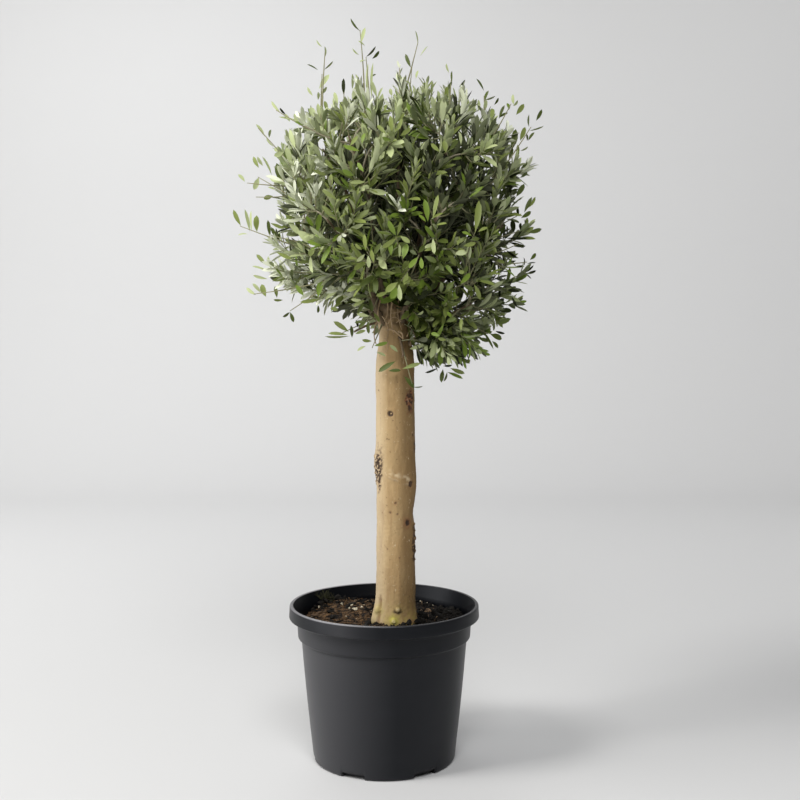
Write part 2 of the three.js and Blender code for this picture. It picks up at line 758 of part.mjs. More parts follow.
const boughPlans = makeBoughPlans();
const trunkWithRoom = solidFrom(trunkBody(GAP + 0.1));
boughPlans.forEach((plan) => {
  const limb = solidFrom(limbBody(plan.curve, plan.root, BOUGH_TIP, BOUGH_SIDES, BOUGH_STEPS));
  tree.add(named(`bough_${plan.name}`, geometryFrom(oneBody(limb.subtract(trunkWithRoom))), TWIG_BARK));
});

const masses = makeMassPlans(boughPlans);
dealTips(masses);
const balls = limbBalls(boughPlans, masses);
masses.forEach((mass, index) => tree.add(makeMass(masses, mass, balls, drawsFrom(SEED + index + 1))));

export default tree;
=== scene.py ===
"""Potted olive tree: a standard olive in a nursery pot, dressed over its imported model.

Shapes are worked out in millimetres, in the model's own frame (+Z up, -Y towards the viewer, origin
under the middle of the pot), and every mesh is written in metres with its object at the origin.
"""

import math
from functools import lru_cache
from typing import NamedTuple

import bpy
import numpy as np
from bpy.props import FloatProperty, FloatVectorProperty, IntProperty, PointerProperty
from bpy.types import Operator, Panel, PropertyGroup
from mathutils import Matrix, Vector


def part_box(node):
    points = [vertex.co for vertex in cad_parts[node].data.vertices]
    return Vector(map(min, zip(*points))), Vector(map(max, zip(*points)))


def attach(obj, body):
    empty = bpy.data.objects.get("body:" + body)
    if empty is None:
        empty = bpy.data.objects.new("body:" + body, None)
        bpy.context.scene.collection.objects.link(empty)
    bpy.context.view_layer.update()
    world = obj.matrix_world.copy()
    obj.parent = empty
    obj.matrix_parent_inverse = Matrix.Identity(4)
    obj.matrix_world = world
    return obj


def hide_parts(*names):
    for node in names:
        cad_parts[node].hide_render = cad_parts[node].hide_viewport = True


bl_info = {
    "name": "Potted Olive Tree",
    "version": (1, 0, 0),
    "blender": (4, 5, 0),
    "location": "View3D > Sidebar > Olive",
    "description": "Makes a standard olive tree in a nursery pot",
    "category": "Add Mesh",
}

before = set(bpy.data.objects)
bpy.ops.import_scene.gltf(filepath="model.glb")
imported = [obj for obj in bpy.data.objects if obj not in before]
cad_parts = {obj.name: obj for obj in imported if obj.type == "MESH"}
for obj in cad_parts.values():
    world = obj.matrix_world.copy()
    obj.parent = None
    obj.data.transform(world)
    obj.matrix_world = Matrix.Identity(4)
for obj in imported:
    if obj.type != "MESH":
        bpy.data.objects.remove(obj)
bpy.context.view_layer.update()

MM = 0.001
UP = np.array([0.0, 0.0, 1.0])
GOLDEN_TURN = math.pi * (3 - math.sqrt(5))


# The picture and its camera, in millimetres: places read in the picture and the stage's camera use these
PICTURE_SIZE = 800
LENS = 55.25
SENSOR_WIDTH = 36
# The focal length in pixels of the picture
FOCAL = PICTURE_SIZE * LENS / SENSOR_WIDTH
CAMERA = np.array([25, -1916.5, 703.3])
CAMERA_PITCH = math.radians(4)


def node_box_mm(node):
    """The lowest and highest corner of a node of the model, in millimetres."""
    low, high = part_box(node)
    return np.array(low) / MM, np.array(high) / MM


def nodes_named(start):
    """The model's nodes whose names begin so."""
    return [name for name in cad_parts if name.startswith(start)]


POT_BOX = node_box_mm("pot")
COMPOST_BOX = node_box_mm("compost")
TRUNK_BOX = node_box_mm("trunk")

# Pot
RIM_RADIUS = (POT_BOX[1][0] - POT_BOX[0][0]) / 2
POT_HEIGHT = POT_BOX[1][2]
LIP_HEIGHT = 20
LIP_WIDTH = 6.5
LIP_ROUND = 2.2
LIP_LEAN = 0.9
NECK_RADIUS = 137.8
SHOULDER_TOP = 200
SHOULDER_TOP_RADIUS = 136.2
SHOULDER_FOOT = 190
SHOULDER_FOOT_RADIUS = 130.4
FOOT_RADIUS = 112.6
FOOT_ROUND = 6
FLOOR_ROUND = 4.2
POT_WALL = 2.4
POT_FLOOR = 3.5
BELLY = 0.9
# Radii of the roundings at the shoulder's foot and top, at the neck and inside the lip
SHOULDER_FOOT_ROUND = 5
SHOULDER_TOP_ROUND = 3.4
NECK_ROUND = 1.6
INNER_LIP_ROUND = 1.2
# Rings that the pockets may raise, rings inside, and rings of the outer wall
UNDER_RINGS = 16
INNER_RINGS = 17
WALL_RINGS = 26
# Finishes of the pot and how shiny each is
FINISHES = (("wall", 0.31), ("rim", 0.26), ("inside", 0.12))
# Painted highlight where the light from the left shines on the pot: values at places across the pot, and
# shares at the shoulder's foot and top, under and over the lip's foot, where the lip rounds in and on its
# edge
WALL_HIGHLIGHT = ((-112, 20), (0.133, 0))
WALL_HIGHLIGHT_UP = (1, 0.75, 0.75, 0, 0, 0)
LIP_HIGHLIGHT = ((-125, -105, -64, -34, 0), (0, 0.014, 0.075, 0.03, 0))
LIP_HIGHLIGHT_UP = (0, 0, 0, 1, 1, 1)
EDGE_HIGHLIGHT = ((-150, -90, -50, 20, 100), (0.35, 0.7, 0.6, 0.08, 0.05))
EDGE_HIGHLIGHT_UP = (0, 0, 0, 0, 0, 1)
# Colour of the painted highlight
HIGHLIGHT_COLOUR = (0.36, 0.353, 0.37)
POCKETS = 6
POCKET_TURN = math.radians(-55)
POCKET_HALF = math.radians(10.2)
POCKET_REACH = 84.6
POCKET_HEIGHT = 8.5
POCKET_EDGE = math.radians(0.12)
POCKET_FACES = 12

# Compost
SOIL_LEVEL = COMPOST_BOX[1][2]
SOIL_RADIUS = COMPOST_BOX[1][0]

# Trunk
TRUNK_X = 18.5
TRUNK_Y = -12
TRUNK_FOOT = TRUNK_BOX[0][2]
TRUNK_TOP = TRUNK_BOX[1][2]
HEAD_LEVEL = 722
STEM_RADIUS_LOW = 31.4
STEM_RADIUS_HIGH = 29.6
FLARE = 2.6
FLARE_FALL = 16
NECK_HEIGHT = 668
NECK_SPAN = 27
NECK_DIP = 4.6
SWAY = 1.2
KNUCKLE = ((10, 1.0), (3, 0.86), (0, 0.68))
# Swellings and hollows of the stem: side in degrees, height, width in degrees, height span, size
TRUNK_MARKS = (
    (176, 470, 34, 24, 3.0), (4, 392, 42, 20, -3.6), (0, 446, 40, 24, 1.6), (196, 226, 24, 24, 6.0),
    (222, 240, 11, 34, -2.6), (-38, 222, 26, 15, 4.2), (70, 224, 30, 20, 4.5), (130, 232, 14, 26, -2.0),
    (205, 704, 34, 14, 3.4), (20, 700, 40, 14, 2.2), (110, 560, 30, 22, 1.8),
)

# Crown
CROWN = np.array([25.0, 0.0, 860.0])
CROWN_RADIUS = 212
CROWN_RISE = 198
SKIRT_DROP = 204
SKIRT_SWING = 56
SKIRT_TURN = math.radians(35)
SQUARENESS = 2.7


class Whorl(NamedTuple):
    """Boughs that leave the trunk at one height, and the place of the masses that they carry."""

    count: int
    reach: float
    rise: float
    turn: float
    leave: float
    tilt: float
    share: float
    root: float
    spread: float


# From the top one down
WHORLS = (
    Whorl(1, 0, 112, 0, 690, 86, 0.5, 8, 360),
    Whorl(5, 112, 66, 18, 682, 50, 0.5, 7, 72),
    Whorl(6, 132, -50, -12, 672, 28, 0.42, 6.5, 60),
    Whorl(2, 96, -160, -38, 648, 18, 0.5, 5.2, 104),
)
BOUGH_STAGGER = 5
BOUGH_BEND = 0.55
BOUGH_TIP = 4.4
STEM_TIP = 1.6
STEM_PAST = 40
STEM_BEND = 0.5

# Shoots on the trunk's head: middle, and height where they leave it
TRUNK_SHOOTS = (((-46, -20, 676), 690), ((30, -60, 640), 668))
SHOOT_ROOT = 2.2
SHOOT_STRAIGHT = 14

TWIG_ROOT = 2.2
TWIG_TIP = 0.8
TWIG_TIPS = 66
TIP_SHY = 58
TIP_JITTER = 16
TWIG_LEAN = 0.62
TWIG_FIRST = 0.12
TWIG_LAST = 0.94
TWIG_FORWARD = 0.3
TWIG_LIFT = 0.08
PROUD_STRAIGHT = 0.45
TRUNK_CLEAR = 78
TRUNK_CLEAR_TOP = 765
SEED = 4211

# The furthest points of the shoots that stand out of the crown away from the front
PROUD_SHOOTS = (
    (24, 100, 1118), (-62, 150, 1058), (160, 160, 1000), (20, 236, 900), (-130, -150, 985),
    (140, 176, 690), (-84, 190, 762),
)
PROUD_LEAF = 26

# Fine shoots: how many on each shell, how far the shell lies under the crown's skin, and give or take what
SHELLS = ((330, 44, 12), (190, 24, 14), (240, 78, 14), (170, 114, 14), (110, 150, 14))
BUNCHING = 0.26
# Places where the crown is thicker: the middle, its spread along each axis, and how many more shoots
THICKETS = (
    ((-124, -10, 990), (24, 80, 22), 6), ((166, -10, 984), (20, 80, 22), 12),
    ((-146, -20, 768), (28, 60, 24), 10), ((66, -40, 696), (24, 34, 32), 36),
    ((20, 64, 716), (60, 34, 34), 30), ((100, -40, 660), (44, 44, 22), 30),
    ((-28, -6, 730), (18, 40, 20), 18),
)
THICKET_FILL = 0.6
# Places where it is thinner: the middle, the spread, and the share of the shoots left out
THIN_PLACES = (
    ((-150, -40, 1010), (60, 200, 40), 0.2), ((-150, -60, 800), (60, 130, 50), 0.45),
    ((190, -20, 900), (40, 160, 130), 0.3), ((192, -20, 775), (34, 160, 34), 0.55),
)
SHOOT_CLEAR = 40
SHOOT_CLEAR_TOP = 742
SHOOT_LEAST = 22
SHOOT_MOST = 130
SHOOT_BEND = 0.42
SHOOT_HOLD = 0.2
SHOOT_START = 0.4
FINE_ROOT = 1.25
FINE_TIP = 0.55
# How far the tips wander from an even spread, and the shoots from their heading
TIP_WANDER = 0.05
HEADING_WANDER = 0.17
# How far shoots turn up: low in the crown, how much more at its top, from what height and over what span
SHOOT_LIFT = (0.2, 0.95, 720, 230)
# Shares of its parent where a shoot may start, and what a turn from its heading and a near start cost
SEAT_SHARES = np.linspace(0.2, 0.97, 14)
TURN_COST = 1.6
NEAR_COST = 200
# For plain twigs, proud ones and fine shoots: gap between pairs of leaves, their size, bare share at the foot
INTERNODES = (7.0, 19, 7.0)
LEAF_SIZES = (1.0, 0.74, 1.0)
BARE_SHARES = (0.55, 0.42, 0.22)


def unit(vectors):
    """Each vector divided by its length."""
    return vectors / np.maximum(np.linalg.norm(vectors, axis=-1, keepdims=True), 1e-9)


def square_to(vectors, axis):
    """The vectors without their part along a unit axis."""
    return vectors - axis * np.sum(vectors * axis, -1, keepdims=True)


def smooth_step(share):
    """3 t^2 - 2 t^3, from 0 to 1."""
    share = np.clip(share, 0, 1)
    return share * share * (3 - 2 * share)


def eased(value, low, gain, start, span):
    """low + gain times the smooth step of (value - start) / span."""
    return low + gain * smooth_step((value - start) / span)


def bump(distance):
    """A bell of height 1 that falls by the square: exp(-d^2)."""
    return np.exp(-distance * distance)


def closed_noise(across, along, cells, seed):
    """Smooth noise from -1 to 1 over two shares, closed across.

    A grid of random values, blended between its corners by the smooth step along both shares.
    """
    wide, tall = cells
    values = np.random.default_rng(seed).uniform(-1, 1, (wide, tall + 2))
    x = np.mod(across, 1) * wide
    y = np.clip(along, 0, 1) * tall
    column, row = np.floor(x).astype(int), np.floor(y).astype(int)
    u, v = smooth_step(x - column), smooth_step(y - row)
    column %= wide
    beyond = (column + 1) % wide
    low = values[column, row] * (1 - u) + values[beyond, row] * u
    high = values[column, row + 1] * (1 - u) + values[beyond, row + 1] * u
    return low * (1 - v) + high * v


# Meshes


def add_piece(name, places, faces, materials, kinds=None, smooth=True, marks=None):
    """An object with a mesh of corner places in millimetres and arrays of faces, one for each corner count.

    kinds gives each face its material, in the order of the faces, and marks are named values or colours
    of the corners.
    """
    mesh = bpy.data.meshes.new(name)
    mesh.vertices.add(len(places))
    mesh.vertices.foreach_set("co", (np.asarray(places) * MM).astype(np.float32).ravel())
    corners = np.concatenate([block.ravel() for block in faces])
    counts = np.concatenate([np.full(len(block), block.shape[1]) for block in faces])
    mesh.loops.add(len(corners))
    mesh.loops.foreach_set("vertex_index", corners.astype(np.int32))
    mesh.polygons.add(len(counts))
    mesh.polygons.foreach_set("loop_start", (np.cumsum(counts) - counts).astype(np.int32))
    if kinds is not None:
        mesh.polygons.foreach_set("material_index", np.asarray(kinds, np.int32))
    mesh.polygons.foreach_set("use_smooth", np.full(len(counts), smooth))
    mesh.update(calc_edges=True)
    for label, values in (marks or {}).items():
        colour = values.ndim == 2
        layer = mesh.attributes.new(label, "FLOAT_COLOR" if colour else "FLOAT", "POINT")
        layer.data.foreach_set("color" if colour else "value", values.astype(np.float32).ravel())
    for material in materials:
        mesh.materials.append(material)
    piece = bpy.data.objects.new(name, mesh)
    bpy.context.scene.collection.objects.link(piece)
    return piece


def sharpen(piece, corner_is_sharp):
    """Marks as sharp each edge whose two ends are both marked."""
    mesh = piece.data
    ends = np.zeros(len(mesh.edges) * 2, np.int32)
    mesh.edges.foreach_get("vertices", ends)
    ends = ends.reshape(-1, 2)
    layer = mesh.attributes.new("sharp_edge", "BOOLEAN", "EDGE")
    layer.data.foreach_set("value", corner_is_sharp[ends[:, 0]] & corner_is_sharp[ends[:, 1]])


def grid_faces(rows, columns, closed=True):
    """Quads between neighbours of a grid numbered row by row, where the last column may meet the first."""
    row = np.arange(rows - 1)[:, None]
    column = np.arange(columns if closed else columns - 1)[None, :]
    beyond = (column + 1) % columns
    quads = (row * columns + column, row * columns + beyond, (row + 1) * columns + beyond,
             (row + 1) * columns + column)
    return np.stack(np.broadcast_arrays(*quads), -1).reshape(-1, 4)


def fan(middle, ring, beyond):
    """Triangles from a middle corner over the sides of a ring."""
    return np.stack([np.full(len(ring), middle), ring, beyond], -1)


def turned_body(outline, turns):
    """Corners and faces of an outline of radius and height turned about the axis, with a pole at each end.

    A corner is (r cos a, r sin a, z) for each angle a and each outline point between its two ends.
    """
    radius, height = outline[1:-1].T
    ring = np.stack([np.cos(turns), np.sin(turns)], -1)
    places = np.empty((len(radius), len(turns), 3))
    places[..., :2] = radius[:, None, None] * ring[None]
    places[..., 2] = height[:, None]
    count = places.shape[0] * places.shape[1]
    poles = np.array([[0, 0, outline[0][1]], [0, 0, outline[-1][1]]])
    quads = grid_faces(len(radius), len(turns))
    here = np.arange(len(turns))
    beyond = (here + 1) % len(turns)
    last = count - len(turns)
    ends = np.concatenate([fan(count, beyond, here), fan(count + 1, last + here, last + beyond)])
    return np.concatenate([places.reshape(-1, 3), poles]), [quads, ends]


def arc(centre, radius, first, last, steps=5):
    """Points of radius and height along an arc: centre + radius (cos a, sin a), with angles in degrees."""
    turn = np.radians(np.linspace(first, last, steps))
    return np.stack([centre[0] + radius * np.cos(turn), centre[1] + radius * np.sin(turn)], -1)


def straight(first, last, steps):
    """Points spread evenly along a straight line, with its first left out."""
    share = np.linspace(0, 1, steps + 1)[1:, None]
    return np.array(first) * (1 - share) + np.array(last) * share


# Curves of the tree


class Curves(NamedTuple):
    """Limbs along quadratic curves: three points of each, and its radius at the root and at the tip."""

    start: np.ndarray
    bend: np.ndarray
    end: np.ndarray
    root: np.ndarray
    tip: np.ndarray

    def at(self, share):
        """(1-t)^2 start + 2 t (1-t) bend + t^2 end, at one share of each curve or a row of shares for all."""
        t = share[..., None]
        lift = (slice(None), None) if t.ndim == 3 else (slice(None),)
        return (1 - t) ** 2 * self.start[lift] + 2 * t * (1 - t) * self.bend[lift] + t * t * self.end[lift]

    def slope(self, share):
        """The unit direction of each curve: (1-t)(bend - start) + t (end - bend), made one long."""
        t = share[..., None]
        lift = (slice(None), None) if t.ndim == 3 else (slice(None),)
        return unit((1 - t) * (self.bend - self.start)[lift] + t * (self.end - self.bend)[lift])

    def length(self):
        """The mean of each curve's chord and its two sides, close to its length."""
        sides = np.linalg.norm(self.bend - self.start, axis=1) + np.linalg.norm(self.end - self.bend, axis=1)
        return (np.linalg.norm(self.end - self.start, axis=1) * 2 + sides) / 3


def join_curves(*groups):
    """One set of curves from several."""
    return Curves(*(np.concatenate(parts) for parts in zip(*groups)))


def limb_mesh(curves, steps, sides, relief=0.0, seed=0):
    """Corners and faces of tubes along the curves, all at once.

    A corner is centre + r (cos a across + sin a beside). across stands square to the plane of the
    curve, so the tube doesn't twist, and r falls evenly from root to tip, times 1 + relief x noise.
    """
    count = len(curves.start)
    share = np.broadcast_to(np.linspace(0, 1, steps + 1), (count, steps + 1))
    centre, along = curves.at(share), curves.slope(share)
    chord = unit(curves.end - curves.start)
    spare = np.where(np.abs(chord[:, 2:]) < 0.9, UP, np.array([1.0, 0.0, 0.0]))
    across = np.cross(curves.bend - curves.start, curves.end - curves.bend)
    flat = np.linalg.norm(across, axis=1, keepdims=True) < 1e-3
    across = unit(np.where(flat, np.cross(chord, spare), across))[:, None, :]
    across = unit(square_to(across, along))
    beside = np.cross(along, across)
    turn = 2 * np.pi * np.arange(sides) / sides
    radius = curves.root[:, None] * (1 - share) + curves.tip[:, None] * share
    radius = np.repeat(radius[..., None], sides, -1)
    if relief:
        rough = np.random.default_rng(seed).normal(0, 1, radius.shape)
        rough = (rough + np.roll(rough, 1, 1) + np.roll(rough, 1, 2)) / 3
        radius = radius * (1 + relief * rough)
    places = centre[:, :, None] + radius[..., None] * (
        np.cos(turn)[:, None] * across[:, :, None] + np.sin(turn)[:, None] * beside[:, :, None]
    )
    body = (steps + 1) * sides
    base = (np.arange(count) * body)[:, None, None]
    quads = (base + grid_faces(steps + 1, sides)[None]).reshape(-1, 4)
    ring = np.arange(sides)
    roots = base[:, 0] + ring[::-1]
    tips = base[:, 0] + steps * sides + ring
    return places.reshape(-1, 3), [quads, roots, tips]


def from_picture(across, down, depth):
    """The place seen so far across and down the picture, at a depth along Y in millimetres.

    For each step along Y its ray rises (q cos p - sin p) / (cos p + q sin p), where p is the camera's
    pitch and q is how far above the picture's middle it is, over the focal length.
    """
    run = depth - CAMERA[1]
    high = (PICTURE_SIZE / 2 - down) / FOCAL
    cosine, sine = math.cos(CAMERA_PITCH), math.sin(CAMERA_PITCH)
    rise = run * (high * cosine - sine) / (cosine + high * sine)
    aside = (across - PICTURE_SIZE / 2) / FOCAL * (run * cosine - rise * sine)
    return np.stack(np.broadcast_arrays(CAMERA[0] + aside, depth, CAMERA[2] + rise), -1)


def trunk_share(height):
    """How far up the trunk a height is: 0 at the compost and 1 at the head."""
    return (height - SOIL_LEVEL) / (HEAD_LEVEL - SOIL_LEVEL)


def trunk_axis(height):
    """The middle of the trunk at a height: a slight sway by sines of the share of its length."""
    share = trunk_share(height)
    return np.stack(
        [TRUNK_X + SWAY * np.sin(2 * np.pi * share), TRUNK_Y + SWAY * np.sin(np.pi * share), height], -1
    )


def turn_between(turn, other):
    """The shortest turn from one angle to another, between -pi and pi."""
    return np.mod(turn - other + np.pi, 2 * np.pi) - np.pi


def trunk_radius(turn, height):
    """The trunk's radius: an even taper, a flare at the foot, a neck at the head, a bell for each mark."""
    share = trunk_share(height)
    radius = STEM_RADIUS_LOW * (1 - share) + STEM_RADIUS_HIGH * share
    radius = radius + FLARE * np.exp(-(height - SOIL_LEVEL) / FLARE_FALL)
    radius = radius - NECK_DIP * bump((height - NECK_HEIGHT) / NECK_SPAN)
    for side, middle, width, span, size in TRUNK_MARKS:
        off = turn_between(turn, math.radians(side)) / math.radians(width)
        radius = radius + size * bump(off) * bump((height - middle) / span)
    return radius


def crown_reach(direction):
    """How far the crown reaches from its middle along unit directions.

    The superellipsoid (flat / radius)^n + (|z| / height)^n = 1, with one height above and, below, a
    skirt whose drop swings with the side.
    """
    flat = np.hypot(direction[..., 0], direction[..., 1])
    turn = np.arctan2(direction[..., 1], direction[..., 0])
    drop = SKIRT_DROP + SKIRT_SWING * np.cos(turn - SKIRT_TURN)
    height = np.where(direction[..., 2] > 0, CROWN_RISE, drop)
    outward = (flat / CROWN_RADIUS) ** SQUARENESS
    upward = (np.abs(direction[..., 2]) / height) ** SQUARENESS
    return (outward + upward) ** (-1 / SQUARENESS)


def draws_from(seed):
    """Draws between 0 and 1 that repeat for a seed, the same as the model's."""
    whole = 0xFFFFFFFF
    state = seed & whole
    while True:
        state = (state + 0x6D2B79F5) & whole
        mixed = ((state ^ (state >> 15)) * (state | 1)) & whole
        mixed ^= (mixed + (((mixed ^ (mixed >> 7)) * (mixed | 61)) & whole)) & whole
        yield ((mixed ^ (mixed >> 14)) & whole) / 4294967296


def even_directions(count, first_turn=0.0):
    """Unit directions spread evenly over a ball, by the golden turn."""
    index = np.arange(count)
    rise = 1 - (2 * index + 1) / count
    flat = np.sqrt(1 - rise * rise)
    turn = GOLDEN_TURN * index + first_turn
    return np.stack([flat * np.cos(turn), flat * np.sin(turn), rise], -1)


class Mass(NamedTuple):
    """A mass of foliage: its middle, and the three points and root radius of its stem."""

    middle: np.ndarray
    stem: tuple
    root: float


def bough_and_mass_plans():
    """Each bough's curve and the mass that it carries, worked out from the whorls and the trunk's shoots."""
    boughs, masses = [], []
    for whorl in WHORLS:
        for index in range(whorl.count):
            turn = math.radians(whorl.turn + whorl.spread * index)
            outward = np.array([math.cos(turn), math.sin(turn), 0.0])
            middle = CROWN + outward * whorl.reach + UP * whorl.rise
            start = trunk_axis(np.float64(whorl.leave + BOUGH_STAGGER * (index % 2)))
            away = middle - start
            tilt = math.radians(whorl.tilt)
            heading = unit(away * [1, 1, 0]) * math.cos(tilt) + UP * math.sin(tilt)
            tip = start + away * whorl.share
            bend = start + heading * np.linalg.norm(away) * whorl.share * BOUGH_BEND
            boughs.append((start, bend, tip, whorl.root))
            end = middle + unit(middle - tip) * STEM_PAST
            stem_bend = tip + unit(tip - bend) * np.linalg.norm(middle - tip) * STEM_BEND
            masses.append(Mass(middle, (tip, stem_bend, end), BOUGH_TIP))
    for middle, leave in TRUNK_SHOOTS:
        middle = np.array(middle, float)
        centre = trunk_axis(np.float64(leave))
        heading = unit((middle - centre) * [1, 1, 0])
        start = centre + heading * trunk_radius(math.atan2(heading[1], heading[0]), leave) * 0.9
        masses.append(Mass(middle, (start, start + heading * SHOOT_STRAIGHT, middle), SHOOT_ROOT))
    return boughs, masses


def twig_curve(stem, place, outward):
    """A twig that leaves the stem forward and turns to its tip, with a little lift or along its own line."""
    origin, _, end = stem
    heading = end - origin
    length = np.linalg.norm(heading)
    heading = heading / length
    along = (place - origin) @ heading
    aside = np.linalg.norm(place - origin - heading * along)
    share = np.clip((along - TWIG_LEAN * aside) / length, TWIG_FIRST, TWIG_LAST)
    start = (1 - share) ** 2 * stem[0] + 2 * share * (1 - share) * stem[1] + share * share * stem[2]
    chord = place - start
    reach = np.linalg.norm(chord)
    bend = start + heading * reach * TWIG_FORWARD + chord * TWIG_FORWARD + UP * reach * TWIG_LIFT
    if outward is not None:
        bend = place - outward * PROUD_STRAIGHT * reach
    return start, bend, place


def even_curves(start, bend, end, root, tip):
    """Curves that all have the same two radii."""
    return Curves(start, bend, end, np.full(len(start), float(root)), np.full(len(start), float(tip)))


def curves_of(rows, root, tip):
    """Even curves from rows of start, bend and end."""
    return even_curves(*(np.array([row[part] for row in rows]) for part in range(3)), root, tip)


def near_trunk(places, clear, top):
    """True for each place that lies beside the trunk and under a height."""
    aside = np.hypot(places[:, 0] - TRUNK_X, places[:, 1] - TRUNK_Y)
    return (aside < clear) & (places[:, 2] < top)


class Crown(NamedTuple):
    """All limbs of the crown by order, and what its leaves need to know of the shoots that carry them."""

    limbs: Curves
    twigs: Curves
    sprigs: Curves
    shoots: Curves
    internode: np.ndarray
    leaf: np.ndarray
    first: np.ndarray


@lru_cache(maxsize=1)
def crown_plan():
    """The boughs and stems, the twigs of the model's own rule, and the finer shoots on them."""
    boughs, masses = bough_and_mass_plans()
    middles = np.array([mass.middle for mass in masses])
    limbs = join_curves(
        *(curves_of([bough[:3]], bough[3], BOUGH_TIP) for bough in boughs),
        *(curves_of([mass.stem], mass.root, STEM_TIP) for mass in masses),
    )

    def mass_near(place):
        return masses[np.argmin(np.linalg.norm(middles - place, axis=1))]

    draw = draws_from(SEED)
    directions = even_directions(TWIG_TIPS)
    jitter = np.array([next(draw) for _ in range(TWIG_TIPS)])
    reach = crown_reach(directions) - TIP_SHY + TIP_JITTER * (jitter - 0.5) * 2
    tips = CROWN + directions * reach[:, None]
    tips = tips[~near_trunk(tips, TRUNK_CLEAR, TRUNK_CLEAR_TOP)]
    plain = [twig_curve(mass_near(tip).stem, tip, None) for tip in tips]
    proud = []
    for furthest in np.array(PROUD_SHOOTS, float):
        mass = mass_near(furthest)
        outward = unit(furthest - mass.middle)
        proud.append(twig_curve(mass.stem, furthest - outward * PROUD_LEAF, outward))
    plain = curves_of(plain, TWIG_ROOT, TWIG_TIP)
    proud = curves_of(proud, TWIG_ROOT, TWIG_TIP)
    twigs = join_curves(plain, proud)
    sprigs = sprig_curves(join_curves(limbs, twigs))
    shoots = fine_shoots(limbs, twigs)
    bearing = join_curves(plain, proud, shoots)
    counts = (len(plain.start), len(proud.start), len(shoots.start))
    of_kinds = (np.repeat(values, counts) for values in (INTERNODES, LEAF_SIZES, BARE_SHARES))
    return Crown(limbs, twigs, sprigs, bearing, *of_kinds)


def seats_for(tips, heading, parents):
    """For each tip the place on the parents that it grows from, and the parents' direction there.

    The best place has the least distance x (1 + a penalty for a turn away from the heading), and none
    is nearer than the least length of a shoot.
    """
    share = np.broadcast_to(SEAT_SHARES, (len(parents.start), len(SEAT_SHARES)))
    seats, slopes = parents.at(share).reshape(-1, 3), parents.slope(share).reshape(-1, 3)
    away = tips[:, None] - seats[None]
    distance = np.linalg.norm(away, axis=-1)
    facing = np.sum(away * heading[:, None], -1) / np.maximum(distance, 1)
    cost = distance * (1 + TURN_COST * (1 - facing)) + np.where(distance < SHOOT_LEAST, NEAR_COST, 0)
    seat = np.argmin(cost, axis=1)
    return seats[seat], slopes[seat]


def sprig_curves(parents):
    """The stem of each sprig, from its seat past the place where it comes out to its tip."""
    base = from_picture(*np.array([sprig.base for sprig in SPRIGS], float).T)
    tip = from_picture(*np.array([sprig.tip for sprig in SPRIGS], float).T)
    start, _ = seats_for(base, unit(tip - base), parents)
    bend = SPRIG_HOLD * start + (1 - SPRIG_HOLD) * base
    return even_curves(start, bend, tip, SPRIG_ROOT, SPRIG_TIP)


def fine_shoots(limbs, twigs):
    """Shoots whose tips spread evenly over a few shells under the crown's skin.

    Each leaves the nearest twig or stem, where near means distance x (1 + a penalty for a turn away
    from the way that growth heads there), and ends along that heading.
    """
    draw = np.random.default_rng(SEED)
    tips = []
    for count, shy, jitter in SHELLS:
        directions = even_directions(count, draw.uniform(0, 2 * np.pi))
        directions = unit(directions + draw.normal(0, TIP_WANDER, directions.shape))
        reach = crown_reach(directions) - shy + draw.uniform(-jitter, jitter, count)
        tips.append(CROWN + directions * reach[:, None])
    tips = np.concatenate(tips)
    outward = unit(tips - CROWN)
    bunch = twigs.end[np.argmin(np.linalg.norm(tips[:, None] - twigs.end[None], axis=-1), axis=1)] - tips
    tips = tips + BUNCHING * square_to(bunch, outward)
    thickets = [np.array(middle) + np.clip(draw.normal(0, THICKET_FILL, (count, 3)), -1, 1) * np.array(spread)
                for middle, spread, count in THICKETS]
    tips = np.concatenate([tips, *thickets])
    tips = tips[~near_trunk(tips, SHOOT_CLEAR, SHOOT_CLEAR_TOP)]
    chance = draw.uniform(0, 1, len(tips))
    for middle, spread, share in THIN_PLACES:
        off = np.linalg.norm((tips - middle) / spread, axis=1)
        keep = (off > 1) | (chance > share)
        tips, chance = tips[keep], chance[keep]
    head = np.array([TRUNK_X, TRUNK_Y, TRUNK_TOP - 10])
    lift = eased(tips[:, 2:], *SHOOT_LIFT)
    heading = (1 - 0.5 * lift) * unit(tips - head) + lift * UP
    heading = unit(heading + draw.normal(0, HEADING_WANDER, tips.shape))
    start, slope = seats_for(tips, heading, join_curves(limbs, twigs))
    reach = np.linalg.norm(tips - start, axis=1)
    keep = reach < SHOOT_MOST
    tips, heading, start, slope, reach = (a[keep] for a in (tips, heading, start, slope, reach))
    bend = tips - heading * (SHOOT_BEND * reach)[:, None]
    bend = (1 - SHOOT_HOLD) * bend + SHOOT_HOLD * (start + slope * (SHOOT_START * reach)[:, None])
    return even_curves(start, bend, tips, FINE_ROOT, FINE_TIP)


class Sprig(NamedTuple):
    """A sprig read in the picture: the place where it comes out of the crown, its tip, and its leaves.

    A place is how far across and down the picture it is, and its depth along Y in millimetres. A leaf is
    its root and its tip, across and down, its width as seen, and its tint.
    """

    base: tuple
    tip: tuple
    leaves: str


# How far a sprig's bend is drawn back to its seat, and its stem's radius at root and tip
SPRIG_HOLD = 0.3
SPRIG_ROOT = 1.7
SPRIG_TIP = 0.6
